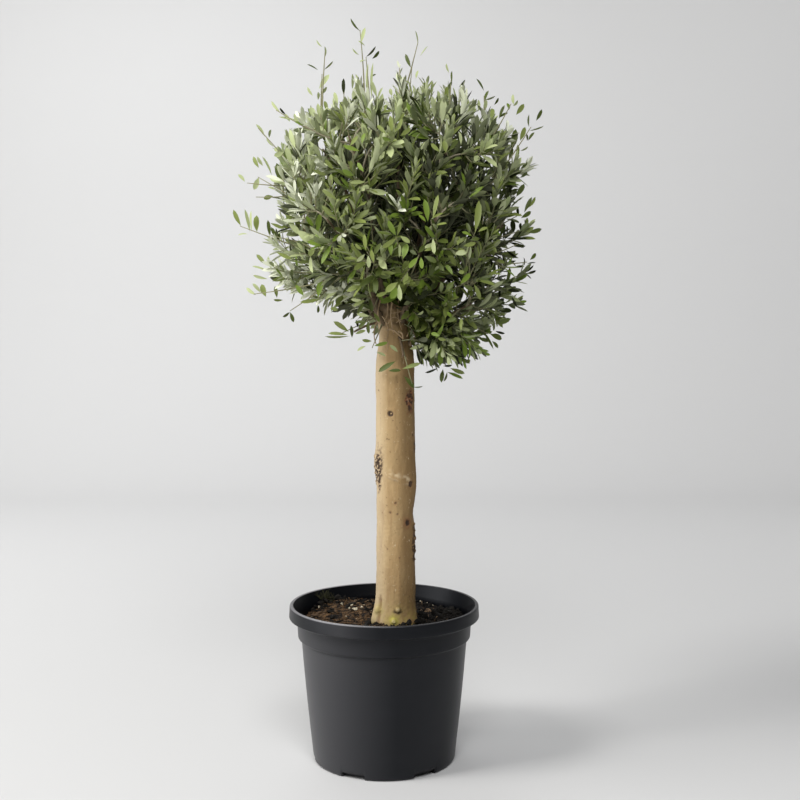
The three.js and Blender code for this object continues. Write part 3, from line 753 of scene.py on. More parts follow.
# Sprigs that stand out at the crown's outline and front; each leaf's tint is how bright it looks, so it
# carries painted light and shade
SPRIGS = tuple(Sprig(*row) for row in (
    ((300, 250, -40), (240, 226, -10), "241 226 233 210 5.5 olive, 250 232 245 209 3.5 sage, "
     "252 232 250 211 3 sage, 257 232 256 215 7.5 olive, 248 234 238 234 2 sage, 263 238 276 243 2 sage"),
    ((302, 238, -50), (272, 236, -20), "270 237 268 220 4.5 deep, 270 223 285 228 4 olive, "
     "276 242 280 233 3 deep"),
    ((302, 202, -50), (258, 177, -15), "259 177 254 190 6.5 sage, 283 184 276 163 9 deep, "
     "288 188 276 180 3 sage"),
    ((290, 190, -50), (247, 183, -30), "245 182 238 173 4 sage, 259 168 252 156 5 olive, "
     "263 166 258 158 4 sage, 272 176 264 155 2.5 sage"),
    ((300, 205, -40), (256, 197, -10), "273 196 264 199 6 olive, 275 190 268 186 3 sage"),
    ((300, 172, -50), (258, 128, -20), "269 138 271 130 3.5 deep, 265 137 257 123 3.5 sage, "
     "274 147 266 139 2 sage, 281 152 274 148 6 sage"),
    ((306, 130, -50), (276, 110, -20), "280 112 270 101 3.5 sage, 286 115 280 108 2.5 dark, "
     "298 121 278 116 3 sage, 290 122 284 113 4 sage, 300 126 294 114 5 sage"),
    ((302, 276, -40), (262, 269, -10), "266 265 256 254 5 olive, 272 271 269 256 3.5 sage, "
     "268 271 252 265 2.5 sage, 268 279 252 275 3.5 sage, 286 271 279 264 4 olive, 276 277 293 277 5 fresh"),
    ((306, 292, -40), (254, 294, -15), "256 295 245 288 4.5 sage, 261 293 253 283 4 sage, "
     "266 297 261 284 7.5 olive, 277 298 275 286 4.5 olive, 283 300 274 300 3 olive"),
    ((312, 296, -40), (290, 311, -25), "290 312 283 317 3 deep, 290 312 294 322 4.5 deep"),
    ((376, 318, -30), (340, 334, -45), "349 332 334 321 6 olive, 348 335 328 332 4 olive, "
     "350 336 325 338 2.5 olive, 352 338 352 326 4 deep, 355 334 365 330 4 olive, 358 328 356 320 3 dark"),
    ((334, 278, -30), (316, 302, -60), "318 298 321 279 8 fresh, 320 299 300 303 5 olive, "
     "304 296 296 285 6 fresh, 335 308 343 295 7 olive, 318 305 318 313 3 deep, 330 308 338 310 5 olive, "
     "325 300 338 288 6 sage"),
    ((330, 232, -60), (292, 218, -95), "284 214 301 224 6 olive, 296 230 315 243 11 sage, "
     "288 222 300 234 7 sage"),
    ((312, 262, -20), (286, 258, -50), "276 252 292 259 5 olive, 295 262 310 262 4 olive, "
     "300 255 312 250 4 sage"),
    ((322, 190, -30), (284, 168, -70), "284 152 274 156 6 sage, 296 150 288 128 6 sage, "
     "292 165 286 147 7 sage, 305 172 298 150 7 sage, 303 196 297 176 7 olive"),
    ((373, 122, -30), (366, 57, -12), "366 57 377 47 2 deep, 372 59 380 51 3 deep, 372 77 376 74 2.5 deep, "
     "368 100 365 62 3 sage, 372 102 370 62 3 sage, 377 98 371 80 5 sage, 378 100 381 86 3 sage, "
     "362 89 363 82 2 deep"),
    ((366, 62, -14), (360, 30, -12), "360 31 349 21 2 deep, 361 43 365 28 4.5 sage, "
     "365 46 358 41 2.5 sage, 359 55 352 48 1.5 sage, 366 60 360 62 2 sage"),
    ((319, 118, -30), (322, 74, -16), "319 89 329 74 6.5 sage, 320 95 327 87 3 sage, "
     "318 70 307 64 2.2 deep, 313 96 307 87 3 sage, 318 100 318 92 3 sage"),
    ((322, 76, -20), (325, 52, -16), "322 47 316 40 1.6 sage, 325 57 326 46 2 sage, 324 70 333 62 1.4 sage"),
    ((346, 122, -40), (344, 92, -30), "344 96 343 78 4.6 dark, 352 90 353 74 3 sage, 359 78 355 74 2 sage, "
     "350 104 358 94 3 deep"),
    ((411, 118, 0), (412, 66, 8), "411 68 405 53 4.2 deep, 399 84 397 72 1.8 deep, 416 79 418 70 3 sage, "
     "408 84 404 78 2 sage, 412 100 410 80 2.5 sage, 417 100 413 84 2.5 sage"),
    ((412, 70, 6), (418, 42, 8), "418 45 416 31 1.6 sage, 420 56 428 46 1.6 sage"),
    ((452, 122, -10), (451, 80, -4), "449 73 446 64 2 sage, 452 83 452 71 2.2 deep, "
     "459 87 465 80 2.2 deep, 449 104 448 84 2.5 sage, 455 104 455 86 2.5 sage, 456 103 468 94 2 olive"),
    ((330, 130, -40), (327, 108, -60), "338 104 334 92 5 sage, 327 112 325 100 4.5 olive, "
     "313 118 311 106 7 sage, 320 118 318 104 5 sage"),
    ((402, 126, -30), (402, 98, -50), "380 113 382 95 5 olive, 392 96 390 89 4 sage, "
     "396 112 394 93 5 sage, 400 108 399 95 4 sage, 406 101 402 86 4.2 deep, 407 101 407 83 4.5 deep, "
     "386 112 385 103 4 olive"),
    ((432, 122, -30), (430, 94, -50), "426 99 427 82 4.5 sage, 431 97 432 81 3.5 sage, "
     "421 98 421 86 3 sage, 446 101 447 87 5 olive, 440 104 438 90 4 sage, 425 112 420 96 7 sage, "
     "436 112 446 96 3 olive"),
    ((484, 128, -30), (484, 96, -20), "484 91 477 78 3 deep, 484 103 488 88 3.6 deep, "
     "484 100 496 96 1.6 sage, 494 105 499 98 2.6 deep, 484 112 486 100 4.5 sage, "
     "468 113 467 96 4.6 olive, 492 119 492 107 7.5 olive, 475 112 473 98 5 sage, 478 112 480 98 4 sage"),
    ((495, 138, -30), (511, 104, -10), "514 105 512 94 3.5 sage, 516 115 524 104 6 olive, "
     "499 119 504 105 3.5 deep, 499 118 508 111 3.4 deep, 509 110 508 102 4 fresh, 513 106 519 100 3 sage"),
    ((512, 160, -30), (531, 127, -10), "529 127 529 113 2 deep, 536 121 542 110 4.2 deep, "
     "528 141 534 132 3.2 deep, 527 141 527 133 3 deep, 529 131 543 127 1.4 olive"),
    ((500, 172, -30), (516, 140, -12), "511 151 517 128 8.5 deep, 520 141 525 127 6 olive, "
     "503 156 504 137 5.4 deep, 517 157 518 146 4.2 olive, 509 161 513 147 4.4 deep, "
     "520 151 528 148 1.6 sage"),
    ((494, 186, -30), (518, 172, -12), "520 169 528 162 3.2 deep, 520 178 527 172 3.4 deep, "
     "511 181 519 164 7 deep, 500 190 506 182 7 olive, 511 194 511 184 3 dark"),
    ((488, 206, -30), (515, 194, -14), "516 197 524 184 6.5 deep, 500 205 512 200 9 olive, "
     "505 194 494 190 6 deep"),
    ((490, 226, -30), (521, 214, -14), "524 213 532 197 4.4 deep, 528 208 538 196 4 olive, "
     "521 218 532 211 5.5 deep, 519 216 517 207 3 dark, 505 214 516 214 3 sage"),
    ((488, 242, -30), (519, 231, -16), "514 233 512 220 6.4 dark, 519 232 529 223 6.5 deep, "
     "528 233 542 229 5.5 deep, 501 236 504 222 6 deep, 520 230 521 223 3 dark"),
    ((486, 264, -30), (518, 244, -16), "512 246 526 246 4 dark, 505 238 528 238 3 dark, "
     "506 250 516 258 2.6 dark"),
    ((498, 270, -30), (527, 262, -16), "513 268 524 266 3 dark, 524 266 525 257 2 dark, "
     "530 260 537 253 4.4 deep, 527 264 536 262 1.5 dark"),
    ((506, 282, -20), (525, 272, -10), "524 273 534 266 2.6 dark, 526 274 536 270 3.2 dark, "
     "524 273 532 279 2 dark"),
    ((484, 290, -30), (508, 290, -20), "506 290 522 290 5.5 dark, 505 288 512 281 4 dark, "
     "500 298 500 287 3 dark, 512 296 517 307 2.6 dark, 496 284 510 280 5 deep"),
    ((474, 308, -30), (498, 308, -24), "498 311 513 310 6.5 dark, 499 304 504 298 5 dark, "
     "495 324 511 319 6.5 deep, 484 326 486 316 6 sage"),
    ((468, 326, -30), (488, 334, -30), "490 334 503 339 7 deep, 495 331 505 333 3 dark, "
     "492 341 499 348 4 deep, 481 328 494 349 3 deep, 478 338 490 341 5 deep"),
    ((448, 336, -30), (466, 350, -40), "462 346 479 347 6.5 deep, 468 351 478 358 2 deep, "
     "463 356 466 369 3.2 fresh, 467 362 470 360 5 olive, 459 352 461 364 4 fresh"),
    ((438, 338, -20), (446, 366, -30), "450 368 465 374 5.5 olive, 447 372 463 378 4 fresh, "
     "438 368 425 373 3 dark, 443 366 452 365 3 dark, 443 369 441 382 5.4 deep, 447 372 445 382 3 deep"),
    ((432, 330, -30), (433, 352, -50), "434 354 430 366 5.5 deep, 438 352 441 361 5 olive, "
     "428 352 424 360 3 sage, 442 346 431 353 6.5 sage, 428 343 410 350 5 sage, 441 350 447 354 4 fresh"),
    ((402, 262, -150), (396, 237, -206), "396 236 388 221 6.5 fresh, 397 236 401 221 4 olive, "
     "400 236 410 243 6 olive, 397 238 382 248 6 olive, 393 235 377 231 4 deep, 403 259 407 243 8 fresh, "
     "399 258 400 244 3.4 sage, 391 256 390 242 6 fresh"),
    ((380, 272, -140), (367, 252, -190), "366 251 364 234 5 olive, 365 254 357 262 4.5 sage, "
     "368 255 369 268 5.5 sage, 373 256 381 243 5.5 deep, 374 263 371 250 5 olive, 362 250 355 244 4 olive"),
    ((412, 276, -150), (419, 255, -200), "418 257 409 268 6.5 fresh, 421 257 422 269 5.5 fresh, "
     "424 256 437 262 6.5 deep, 418 253 425 245 5.5 deep, 417 255 410 250 5 deep, 424 251 434 248 4 olive"),
    ((414, 262, -120), (401, 281, -170), "397 273 379 273 5.5 olive, 398 282 385 292 8 olive, "
     "399 284 400 301 6.5 sage, 397 287 391 299 9 fresh, 408 272 404 285 6 olive, 388 292 376 296 5 olive, "
     "403 284 410 280 4 olive"),
    ((436, 236, -150), (431, 220, -206), "433 219 438 193 5.4 olive, 428 222 425 199 7.5 fresh, "
     "431 219 443 212 3.2 olive, 433 238 434 254 5.5 sage, 425 236 424 246 3.4 olive, "
     "436 225 447 224 3 olive, 426 222 419 214 4 fresh"),
    ((462, 246, -130), (476, 230, -180), "475 233 481 199 8.5 olive, 470 234 467 222 5 deep, "
     "478 232 488 226 4 olive, 472 236 462 231 4 fresh"),
    ((476, 262, -130), (465, 250, -180), "454 254 467 252 7 sage, 463 246 476 243 5.5 olive, "
     "470 240 480 238 5 deep, 458 246 459 236 4 olive"),
    ((476, 296, -120), (460, 280, -170), "453 275 446 264 5.5 fresh, 460 284 471 273 6.5 fresh, "
     "455 281 446 289 6 deep, 463 285 474 290 5.5 deep, 462 275 468 266 5 deep, 474 284 482 300 6 olive, "
     "458 272 464 272 5 olive"),
    ((462, 306, -90), (447, 322, -140), "446 322 456 318 5.5 deep, 444 323 436 339 4.5 fresh, "
     "461 331 461 318 4 olive, 452 318 447 312 4 fresh, 440 336 431 333 5 fresh, 447 340 438 338 4 olive, "
     "454 314 447 300 3 deep"),
    ((352, 168, -150), (352, 150, -196), "360 151 343 145 5.5 fresh, 350 146 358 136 5 olive, "
     "362 144 364 132 4.5 fresh, 354 176 343 171 6 fresh, 364 172 357 162 5 fresh, 366 182 350 183 5 olive"),
    ((330, 196, -140), (332, 178, -190), "337 200 322 190 5 olive, 328 176 313 170 4 olive, "
     "342 186 333 176 5 deep, 334 170 325 160 5 olive, 312 178 303 182 3 olive"),
    ((384, 148, -150), (392, 130, -200), "392 132 390 116 6 olive, 397 133 402 118 5 olive, "
     "386 134 377 124 5 olive, 400 136 411 128 5 olive, 391 140 382 138 4 fresh"),
    ((403, 350, -60), (412, 384, -62), "396 361 377 372 6.4 deep, 388 371 401 370 4 deep, "
     "402 369 421 363 5 olive, 404 376 415 388 5.4 deep, 413 387 423 387 1.6 deep, 398 352 390 345 4 sage"),
    ((378, 288, -70), (362, 300, -84), "374 292 360 286 5 deep, 370 296 354 296 4.5 deep, "
     "366 300 352 306 4.5 olive, 364 302 358 314 5 deep, 370 298 372 312 5 deep, "
     "376 292 384 302 4.5 fresh, 362 300 350 300 4 sage"),
    ((380, 300, -64), (366, 322, -76), "374 310 362 304 4.5 deep, 370 316 356 314 4.5 sage, "
     "367 321 358 328 4.5 deep, 368 320 368 334 4.5 deep, 373 312 380 322 4 olive, 366 322 354 322 4 deep"),
    ((378, 336, -46), (372, 348, -44), "374 346 388 342 4.6 fresh, 376 352 386 356 3 sage, "
     "366 346 357 350 3 sage, 372 341 362 340 4 olive"),
    ((452, 170, -130), (446, 150, -180), "446 153 444 140 7 olive, 449 150 458 140 5 deep, "
     "440 152 431 143 5 olive, 461 145 460 131 4 sage, 452 160 462 157 4 deep"),
))


# Leaves

# Share of a sprig leaf's width as read, where its soft edge was read too
SEEN_WIDTH = 0.84
LEAF_STATIONS = np.array([0.0, 0.07, 0.2, 0.4, 0.62, 0.83, 1.0])
PETIOLE = 0.07
LEAF_FOLD = 0.16
LEAF_THICK = 0.5
LEAST_WIDTH = 0.13
# Degrees between a shoot and its first leaves, and by how much that closes at its tip, times a share: low in
# the crown, gain at its top, from what height and over what span
LEAF_ANGLE = 46
LEAF_CLOSING = 24
LEAF_SPREAD = (1.15, -0.55, 760, 240)
# Give or take of a leaf's turn about its shoot, its angle and its face, and how far that turns up
TURN_WANDER = 0.25
ANGLE_WANDER = 0.16
FACE_WANDER = 0.42
FACE_LIFT = 0.35
# Ranges of length and width, middle and spread of the curl, shares kept and of stray tint, and how far leaves
# stay from the trunk's axis
LENGTH_RANGE = (0.82, 1.18)
WIDTH_RANGE = (0.85, 1.15)
CURL = (0.07, 0.06)
LEAVES_KEPT = 0.94
STRAY_SHARE = 0.24
LEAF_CLEAR = 33
# Leaves of sprigs: give or take in depth, least width, range of width seen over width, and curl
SPRIG_LEAF_WANDER = 5
SPRIG_LEAF_WIDTH = 6
SPRIG_LEAF_SEEN = (0.2, 0.96)
SPRIG_CURL = (0.06, 0.05)


def leaf_widths():
    """The share of a leaf's width at each inner station after the petiole: (1 - |2 u^1.2 - 1|^2.4)^0.8."""
    share = (LEAF_STATIONS[1:-1] - PETIOLE) / (1 - PETIOLE)
    lens = (1 - np.abs(2 * share**1.2 - 1) ** 2.4) ** 0.8
    return np.maximum(lens, LEAST_WIDTH)


def leaf_mesh(root, along, face, length, width, curl):
    """Corners, faces, kinds and rim marks of closed blades, all at once.

    A station's middle is root + u length along - curl length u^2 face. Its edges lie half the width to
    either side, raised by the fold, and its middle has a corner above and one below.
    """
    count = len(root)
    side = np.cross(along, face)
    u = LEAF_STATIONS[None, :, None]
    size = length[:, None, None]
    middle = root[:, None] + along[:, None] * u * size - face[:, None] * curl[:, None, None] * size * u * u
    half = 0.5 * width[:, None, None] * leaf_widths()[None, :, None]
    inner = middle[:, 1:-1]
    rise = face[:, None] * half * LEAF_FOLD * 2
    thick = face[:, None] * LEAF_THICK / 2
    wing = side[:, None] * half
    rings = np.stack([inner + wing + rise, inner + thick, inner - wing + rise, inner - thick], 2)
    stations = rings.shape[1]
    body = 4 * stations + 2
    places = np.concatenate([rings.reshape(count, -1, 3), middle[:, :1], middle[:, -1:]], 1)
    ring = np.arange(4)
    beyond = (ring + 1) % 4
    step = 4 * np.arange(stations - 1)[:, None]
    quads = np.stack([step + ring, step + 4 + ring, step + 4 + beyond, step + beyond], -1).reshape(-1, 4)
    low, last = 4 * stations, 4 * (stations - 1)
    ends = np.concatenate([fan(low, ring, beyond), fan(low + 1, last + beyond, last + ring)])
    quad_kind = np.tile([0, 0, 1, 1], stations - 1)
    end_kind = np.tile([0, 0, 1, 1], 2)
    base = (np.arange(count) * body)[:, None, None]
    faces = [(base + quads).reshape(-1, 4), (base + ends).reshape(-1, 3)]
    kinds = np.concatenate([np.tile(quad_kind, count), np.tile(end_kind, count)])
    rim = np.tile(np.concatenate([np.tile([True, False, True, False], stations), [True, True]]), count)
    return places.reshape(-1, 3), faces, kinds, rim


class Leaves(NamedTuple):
    """Every leaf of the crown: where it sits, how it lies, its size and its tint."""

    root: np.ndarray
    along: np.ndarray
    face: np.ndarray
    length: np.ndarray
    width: np.ndarray
    curl: np.ndarray
    tint: np.ndarray


# Tints of the leaves. They are dealt out by how lit each place is, so silver and sage also serve as painted
# light, and deep and dark as painted shade, besides the leaves' own colours
TINTS = ("silver", "sage", "olive", "fresh", "deep", "dark")

# Where sprays are paler, as painted light, in crown radii: towards a side, from where on, over what span and
# by how much. Where they are darker, as painted shade in the crown's hollows: across, up, how wide and tall,
# and by how much
LIT_EDGES = (
    ((1, 0, 0), 0.7, 0.25, 0.35), ((0, 0, 1), 0.5, 0.35, 0.86), ((0.8, 0, 0.9), 0.6, 0.5, 0.7),
    ((-1, 0, 0), 0.42, 0.35, 0.75), ((-0.6, 0, -0.8), 0.6, 0.3, 0.2),
)
HOLLOW_SHADES = (
    (0.42, -0.15, 0.42, 0.75, 0.5), (-0.36, -0.4, 0.22, 0.25, 0.7), (0.12, -0.6, 0.24, 0.22, 0.5),
    (0.3, 0.2, 0.28, 0.26, 0.3), (0.54, -0.45, 0.28, 0.3, 0.7),
)
MOST_LIT = 1.85
# How pale sprays at the crown's middle are, and how much paler they get up, left and towards the front, as
# painted light
LIT_MIDDLE = 0.62
LIT_SIDE = np.array([-0.52, -0.1, 0.2])
# How far out in the light a spray is: least, gain, from where on and over what span, in crown radii
OUTER = (0, 1, 0.4, 0.42)
# Painted shade: leaves are darker from so far under the crown's skin, or further where light falls in from
# its side, over so far, up to this share, of which so many are the darkest, and so many more at the depth
SHADE_STARTS = 42
SHADE_LIT = 56
SHADE_LIT_SIDE = np.array([-0.8, 0.0, 0.9])
SHADE_SPAN = 44
SHADE_MOST = 0.82
DARKEST_LEAST = 0.3
DARKEST_GAIN = 0.5


@lru_cache(maxsize=1)
def leaf_plan():
    """Pairs of leaves along every shoot, each pair a quarter turn on from the last, and two at its tip.

    A leaf leaves its shoot at an angle that closes towards the tip. Its face is turned partly to the sky,
    and its size is 0.6 + 0.48 sin(pi (0.25 + 0.7 t)) of a full one, where t is how far along it grows.
    """
    crown = crown_plan()
    settings = bpy.context.scene.olive_crown
    draw = np.random.default_rng(SEED + 1)
    shoots = crown.shoots
    run = shoots.length() * (1 - crown.first)
    pairs = np.maximum(np.round(run / crown.internode).astype(int), 2)
    owner = np.repeat(np.arange(len(pairs)), pairs)
    rank = np.arange(len(owner)) - np.repeat(np.cumsum(pairs) - pairs, pairs)
    place = (rank + 1) / pairs[owner]
    share = crown.first[owner] + (1 - crown.first[owner]) * place
    picked = Curves(*(part[owner] for part in shoots))
    root, along = picked.at(share), picked.slope(share)
    level = unit(np.cross(along, UP + 1e-3))
    steep = np.cross(level, along)
    count = len(owner)
    quarter = draw.uniform(0, np.pi, len(pairs))[owner] + rank * np.pi / 2
    quarter = quarter + draw.normal(0, TURN_WANDER, count)
    spread = np.radians(LEAF_ANGLE - LEAF_CLOSING * place) * eased(root[:, 2], *LEAF_SPREAD)
    size = 0.6 + 0.48 * np.sin(np.pi * (0.25 + 0.7 * place))
    grown = settings.leaf_length / MM * crown.leaf[owner] * size
    parts = []
    for half in (0.0, np.pi):
        turn = quarter + half
        out = level * np.cos(turn)[:, None] + steep * np.sin(turn)[:, None]
        angle = spread + draw.normal(0, ANGLE_WANDER, count)
        heading = unit(along * np.cos(angle)[:, None] + out * np.sin(angle)[:, None])
        face = unit(square_to(along, heading)) + UP * FACE_LIFT + draw.normal(0, FACE_WANDER, along.shape)
        face = unit(square_to(face, heading))
        length = grown * draw.uniform(*LENGTH_RANGE, count)
        width = length * settings.leaf_slimness * draw.uniform(*WIDTH_RANGE, count)
        curl = draw.normal(*CURL, count)
        keep = draw.uniform(0, 1, count) < LEAVES_KEPT
        parts.append([part[keep] for part in (root, heading, face, length, width, curl, owner)])
    root, heading, face, length, width, curl, owner = (np.concatenate(part) for part in zip(*parts))
    tint = spray_tints(shoots, draw)[owner]
    stray = draw.uniform(0, 1, len(owner)) < STRAY_SHARE
    tint = np.where(stray, draw.integers(TINTS.index("sage"), len(TINTS), len(owner)), tint)
    tint = sunk_tints(root, tint, draw)
    tip = root + heading * length[:, None]
    middle = root + heading * length[:, None] / 2
    clear = ~near_trunk(tip, LEAF_CLEAR, TRUNK_TOP) & ~near_trunk(middle, LEAF_CLEAR, TRUNK_TOP)
    grown_leaves = Leaves(*(part[clear] for part in (root, heading, face, length, width, curl, tint)))
    return Leaves(*(np.concatenate(parts) for parts in zip(grown_leaves, sprig_leaves(draw))))


def sunk_tints(root, tint, draw):
    """The tints, with more of the leaves deep or dark, as painted shade, the further they lie under the
    crown's skin.
    """
    offset = root - CROWN
    far = np.linalg.norm(offset, axis=1)
    starts = SHADE_STARTS + SHADE_LIT * smooth_step(offset @ SHADE_LIT_SIDE / CROWN_RADIUS)
    sunk = smooth_step((crown_reach(offset / far[:, None]) - far - starts) / SHADE_SPAN)
    shaded = draw.uniform(0, 1, len(tint)) < SHADE_MOST * sunk
    darkest = draw.uniform(0, 1, len(tint)) < DARKEST_LEAST + DARKEST_GAIN * sunk
    return np.where(shaded, np.where(darkest, TINTS.index("dark"), TINTS.index("deep")), tint)


def sprig_leaves(draw):
    """The leaves of the sprigs, each turned about its own length until it is as wide as seen from the front.

    The turn is the arc cosine of the width seen over the leaf's own width, to either side.
    """
    rows = [(sprig.tip[2], leaf.split()) for sprig in SPRIGS for leaf in sprig.leaves.split(",")]
    tint = np.array([TINTS.index(leaf[5]) for _, leaf in rows])
    depth = np.array([depth for depth, _ in rows], float)
    root_across, root_down, tip_across, tip_down, seen = np.array([leaf[:5] for _, leaf in rows], float).T
    root = from_picture(root_across, root_down, depth)
    tip = from_picture(tip_across, tip_down, depth)
    tip = tip + [0, 1, 0] * draw.normal(0, SPRIG_LEAF_WANDER, (len(rows), 1))
    seen = seen * SEEN_WIDTH * (depth - CAMERA[1]) / FOCAL
    length = np.linalg.norm(tip - root, axis=1)
    along = (tip - root) / length[:, None]
    width = np.maximum(seen, SPRIG_LEAF_WIDTH)
    turn = np.arccos(np.clip(seen / width, *SPRIG_LEAF_SEEN))
    turn = turn * np.where(draw.uniform(0, 1, len(rows)) < 0.5, -1, 1)
    facing = unit(square_to(np.array([0.0, -1.0, 0.0]), along))
    side = np.cross(along, facing)
    face = facing * np.cos(turn)[:, None] + side * np.sin(turn)[:, None]
    curl = draw.normal(*SPRIG_CURL, len(rows))
    return Leaves(root, along, face, length, width, curl, tint)


def spray_tints(shoots, draw):
    """A tint for each spray as painted light and shade: pale ones likelier at the lit top, left and rims,
    dark in hollows.

    With l how lit a spray is, o how far out it is and d = 1 - l, the tints' shares are in order 0.75 l^2,
    0.6 l, 0.06 + 0.24 o, 0.02 + 0.14 o, 0.34 d and 0.34 d^2, over their sum.
    """
    offset = (shoots.end - CROWN) / CROWN_RADIUS
    x, _, z = offset.T
    lit = LIT_MIDDLE + offset @ LIT_SIDE
    for side, starts, span, gain in LIT_EDGES:
        lit = eased(offset @ np.array(side), lit, gain, starts, span)
    for across, up, wide, tall, shade in HOLLOW_SHADES:
        lit = lit - shade * bump((x - across) / wide) * bump((z - up) / tall)
    outer = eased(np.linalg.norm(offset, axis=1), *OUTER)
    lit = np.clip(lit, 0, MOST_LIT) * outer
    dull = np.maximum(1 - lit, 0)
    shares = np.stack([0.75 * lit * lit, 0.6 * lit, 0.06 + 0.24 * outer, 0.02 + 0.14 * outer, 0.34 * dull,
                       0.34 * dull * dull], -1)
    shares = np.cumsum(shares / shares.sum(1, keepdims=True), 1)
    return np.sum(draw.uniform(0, 1, len(lit))[:, None] > shares[:, :-1], 1)


# Materials

# Loose grains and fibres: two colours, and how fine the material wanders between them
GRAINS = {
    "bark_chip": ((0.145, 0.093, 0.057), (0.04, 0.026, 0.016), 90),
    "white_grain": ((0.6, 0.55, 0.43), (0.34, 0.29, 0.2), 300),
    "dry_fibre": ((0.3, 0.2, 0.12), (0.1, 0.065, 0.04), 200),
    "tuft_fibre": ((0.012, 0.012, 0.007), (0.045, 0.045, 0.02), 300),
    "dry_strip": ((0.46, 0.34, 0.2), (0.24, 0.16, 0.09), 220),
}
BLACK_CRUMB = (0.012, 0.0105, 0.008)
# The two colours of young bark
BOUGH_BARK = ((0.2, 0.145, 0.085), (0.085, 0.06, 0.04))
TWIG_BARK = ((0.4, 0.36, 0.26), (0.26, 0.23, 0.15))
SHOOT_BARK = ((0.29, 0.28, 0.16), (0.18, 0.17, 0.09))


class Paint:
    """A material's node tree, built by short calls."""

    def __init__(self, name, roughness, specular=0.5):
        self.material = bpy.data.materials.new(name)
        self.material.use_nodes = True
        self.tree = self.material.node_tree
        self.shader = self.tree.nodes["Principled BSDF"]
        self.shader.inputs["Roughness"].default_value = roughness
        self.shader.inputs["Specular IOR Level"].default_value = specular

    def feed(self, socket, value):
        """Joins an input to another socket, or sets it to a plain value or a colour of three shares."""
        if isinstance(value, bpy.types.NodeSocket):
            self.tree.links.new(value, socket)
        else:
            socket.default_value = (*value, 1) if socket.type == "RGBA" else value

    def add(self, kind, inputs=None, **settings):
        """A node with its settings, and with its inputs set to a value or joined to a socket."""
        node = self.tree.nodes.new(kind)
        for key, value in settings.items():
            setattr(node, key, value)
        for key, value in (inputs or {}).items():
            self.feed(node.inputs[key], value)
        return node

    def place(self, scale):
        """Object coordinates, stretched by a scale along each axis."""
        where = self.add("ShaderNodeTexCoord").outputs["Object"]
        return self.add("ShaderNodeMapping", {"Vector": where, "Scale": scale}).outputs["Vector"]

    def noise(self, place, scale, detail=4.0, roughness=0.55, distortion=0.0):
        """The value of a noise at a place."""
        inputs = {"Vector": place, "Scale": scale, "Detail": detail, "Roughness": roughness,
                  "Distortion": distortion}
        return self.add("ShaderNodeTexNoise", inputs).outputs["Fac"]

    def axis(self, label):
        """One of the object's own coordinates, X, Y or Z, in metres."""
        where = self.add("ShaderNodeTexCoord").outputs["Object"]
        return self.add("ShaderNodeSeparateXYZ", {"Vector": where}).outputs[label]

    def ramp(self, value, low, high, most=1.0):
        """A value stretched so that low becomes 0 and high becomes 1, or the most."""
        inputs = {"Value": value, "From Min": low, "From Max": high, "To Max": most}
        return self.add("ShaderNodeMapRange", inputs, clamp=True).outputs["Result"]

    def mix(self, share, first, second):
        """Two colours, or a colour and a socket, mixed by a share."""
        node = self.add("ShaderNodeMix", {"Factor": share}, data_type="RGBA")
        for key, value in (("A", first), ("B", second)):
            self.feed(next(s for s in node.inputs if s.name == key and s.type == "RGBA"), value)
        return next(s for s in node.outputs if s.type == "RGBA")

    def colour(self, value):
        """The surface's base colour, plain or from a socket."""
        self.feed(self.shader.inputs["Base Color"], value)

    def relief(self, height, distance, strength=1.0):
        """A bump of a height in metres."""
        inputs = {"Height": height, "Distance": distance, "Strength": strength}
        normal = self.add("ShaderNodeBump", inputs).outputs["Normal"]
        self.tree.links.new(normal, self.shader.inputs["Normal"])


def pot_plastic(name, settings, shine):
    """Dark moulded plastic with a fine grain and faint scuffs, and a painted highlight from the mesh's own
    marks.
    """
    paint = Paint(name, settings.roughness, shine)
    paint.shader.inputs["Specular Tint"].default_value = (0.9, 0.93, 1, 1)
    # Painted highlight: a pale colour mixed in by the mesh's marks, on the pot's left and along its rim's
    # edge
    dust = paint.add("ShaderNodeAttribute", attribute_name="dust").outputs["Fac"]
    base = tuple(settings.colour)
    scuffed = tuple(min(1, channel * 1.25 + 0.001) for channel in base)
    scuffs = paint.ramp(paint.noise(paint.place((14, 14, 40)), 1.0, 5, 0.65), 0.52, 0.8)
    paint.colour(paint.mix(dust, paint.mix(scuffs, base, scuffed), HIGHLIGHT_COLOUR))
    paint.relief(paint.noise(paint.place((1, 1, 1)), 700, 3, 0.6), 0.0002, 0.2)
    return paint.material


def compost_mix(settings):
    """Damp compost, mottled from near black to brown on its drier left side and dark on its right."""
    paint = Paint("compost_mix", 0.95, 0.2)
    place = paint.place((1, 1, 1))
    mottle = paint.ramp(paint.noise(place, 110, 6, 0.75), 0.46, 0.62)
    mottled = paint.mix(mottle, tuple(settings.dark), tuple(settings.light))
    paint.colour(paint.mix(paint.ramp(paint.axis("X"), -0.02, 0.05, 0.9), mottled, tuple(settings.dark)))
    paint.relief(paint.noise(place, 420, 5, 0.7), 0.0016, 0.9)
    return paint.material


def plain_grain(name, colour, other, scale):
    """A dull material that wanders between two colours."""
    paint = Paint(name, 0.85, 0.15)
    place = paint.place((1, 1, 1))
    paint.colour(paint.mix(paint.noise(place, scale, 4, 0.6), colour, other))
    paint.relief(paint.noise(place, scale * 4, 3, 0.6), 0.0006, 0.6)
    return paint.material


def grain(name):
    """The material of a loose grain or fibre."""
    return plain_grain(name, *GRAINS[name])


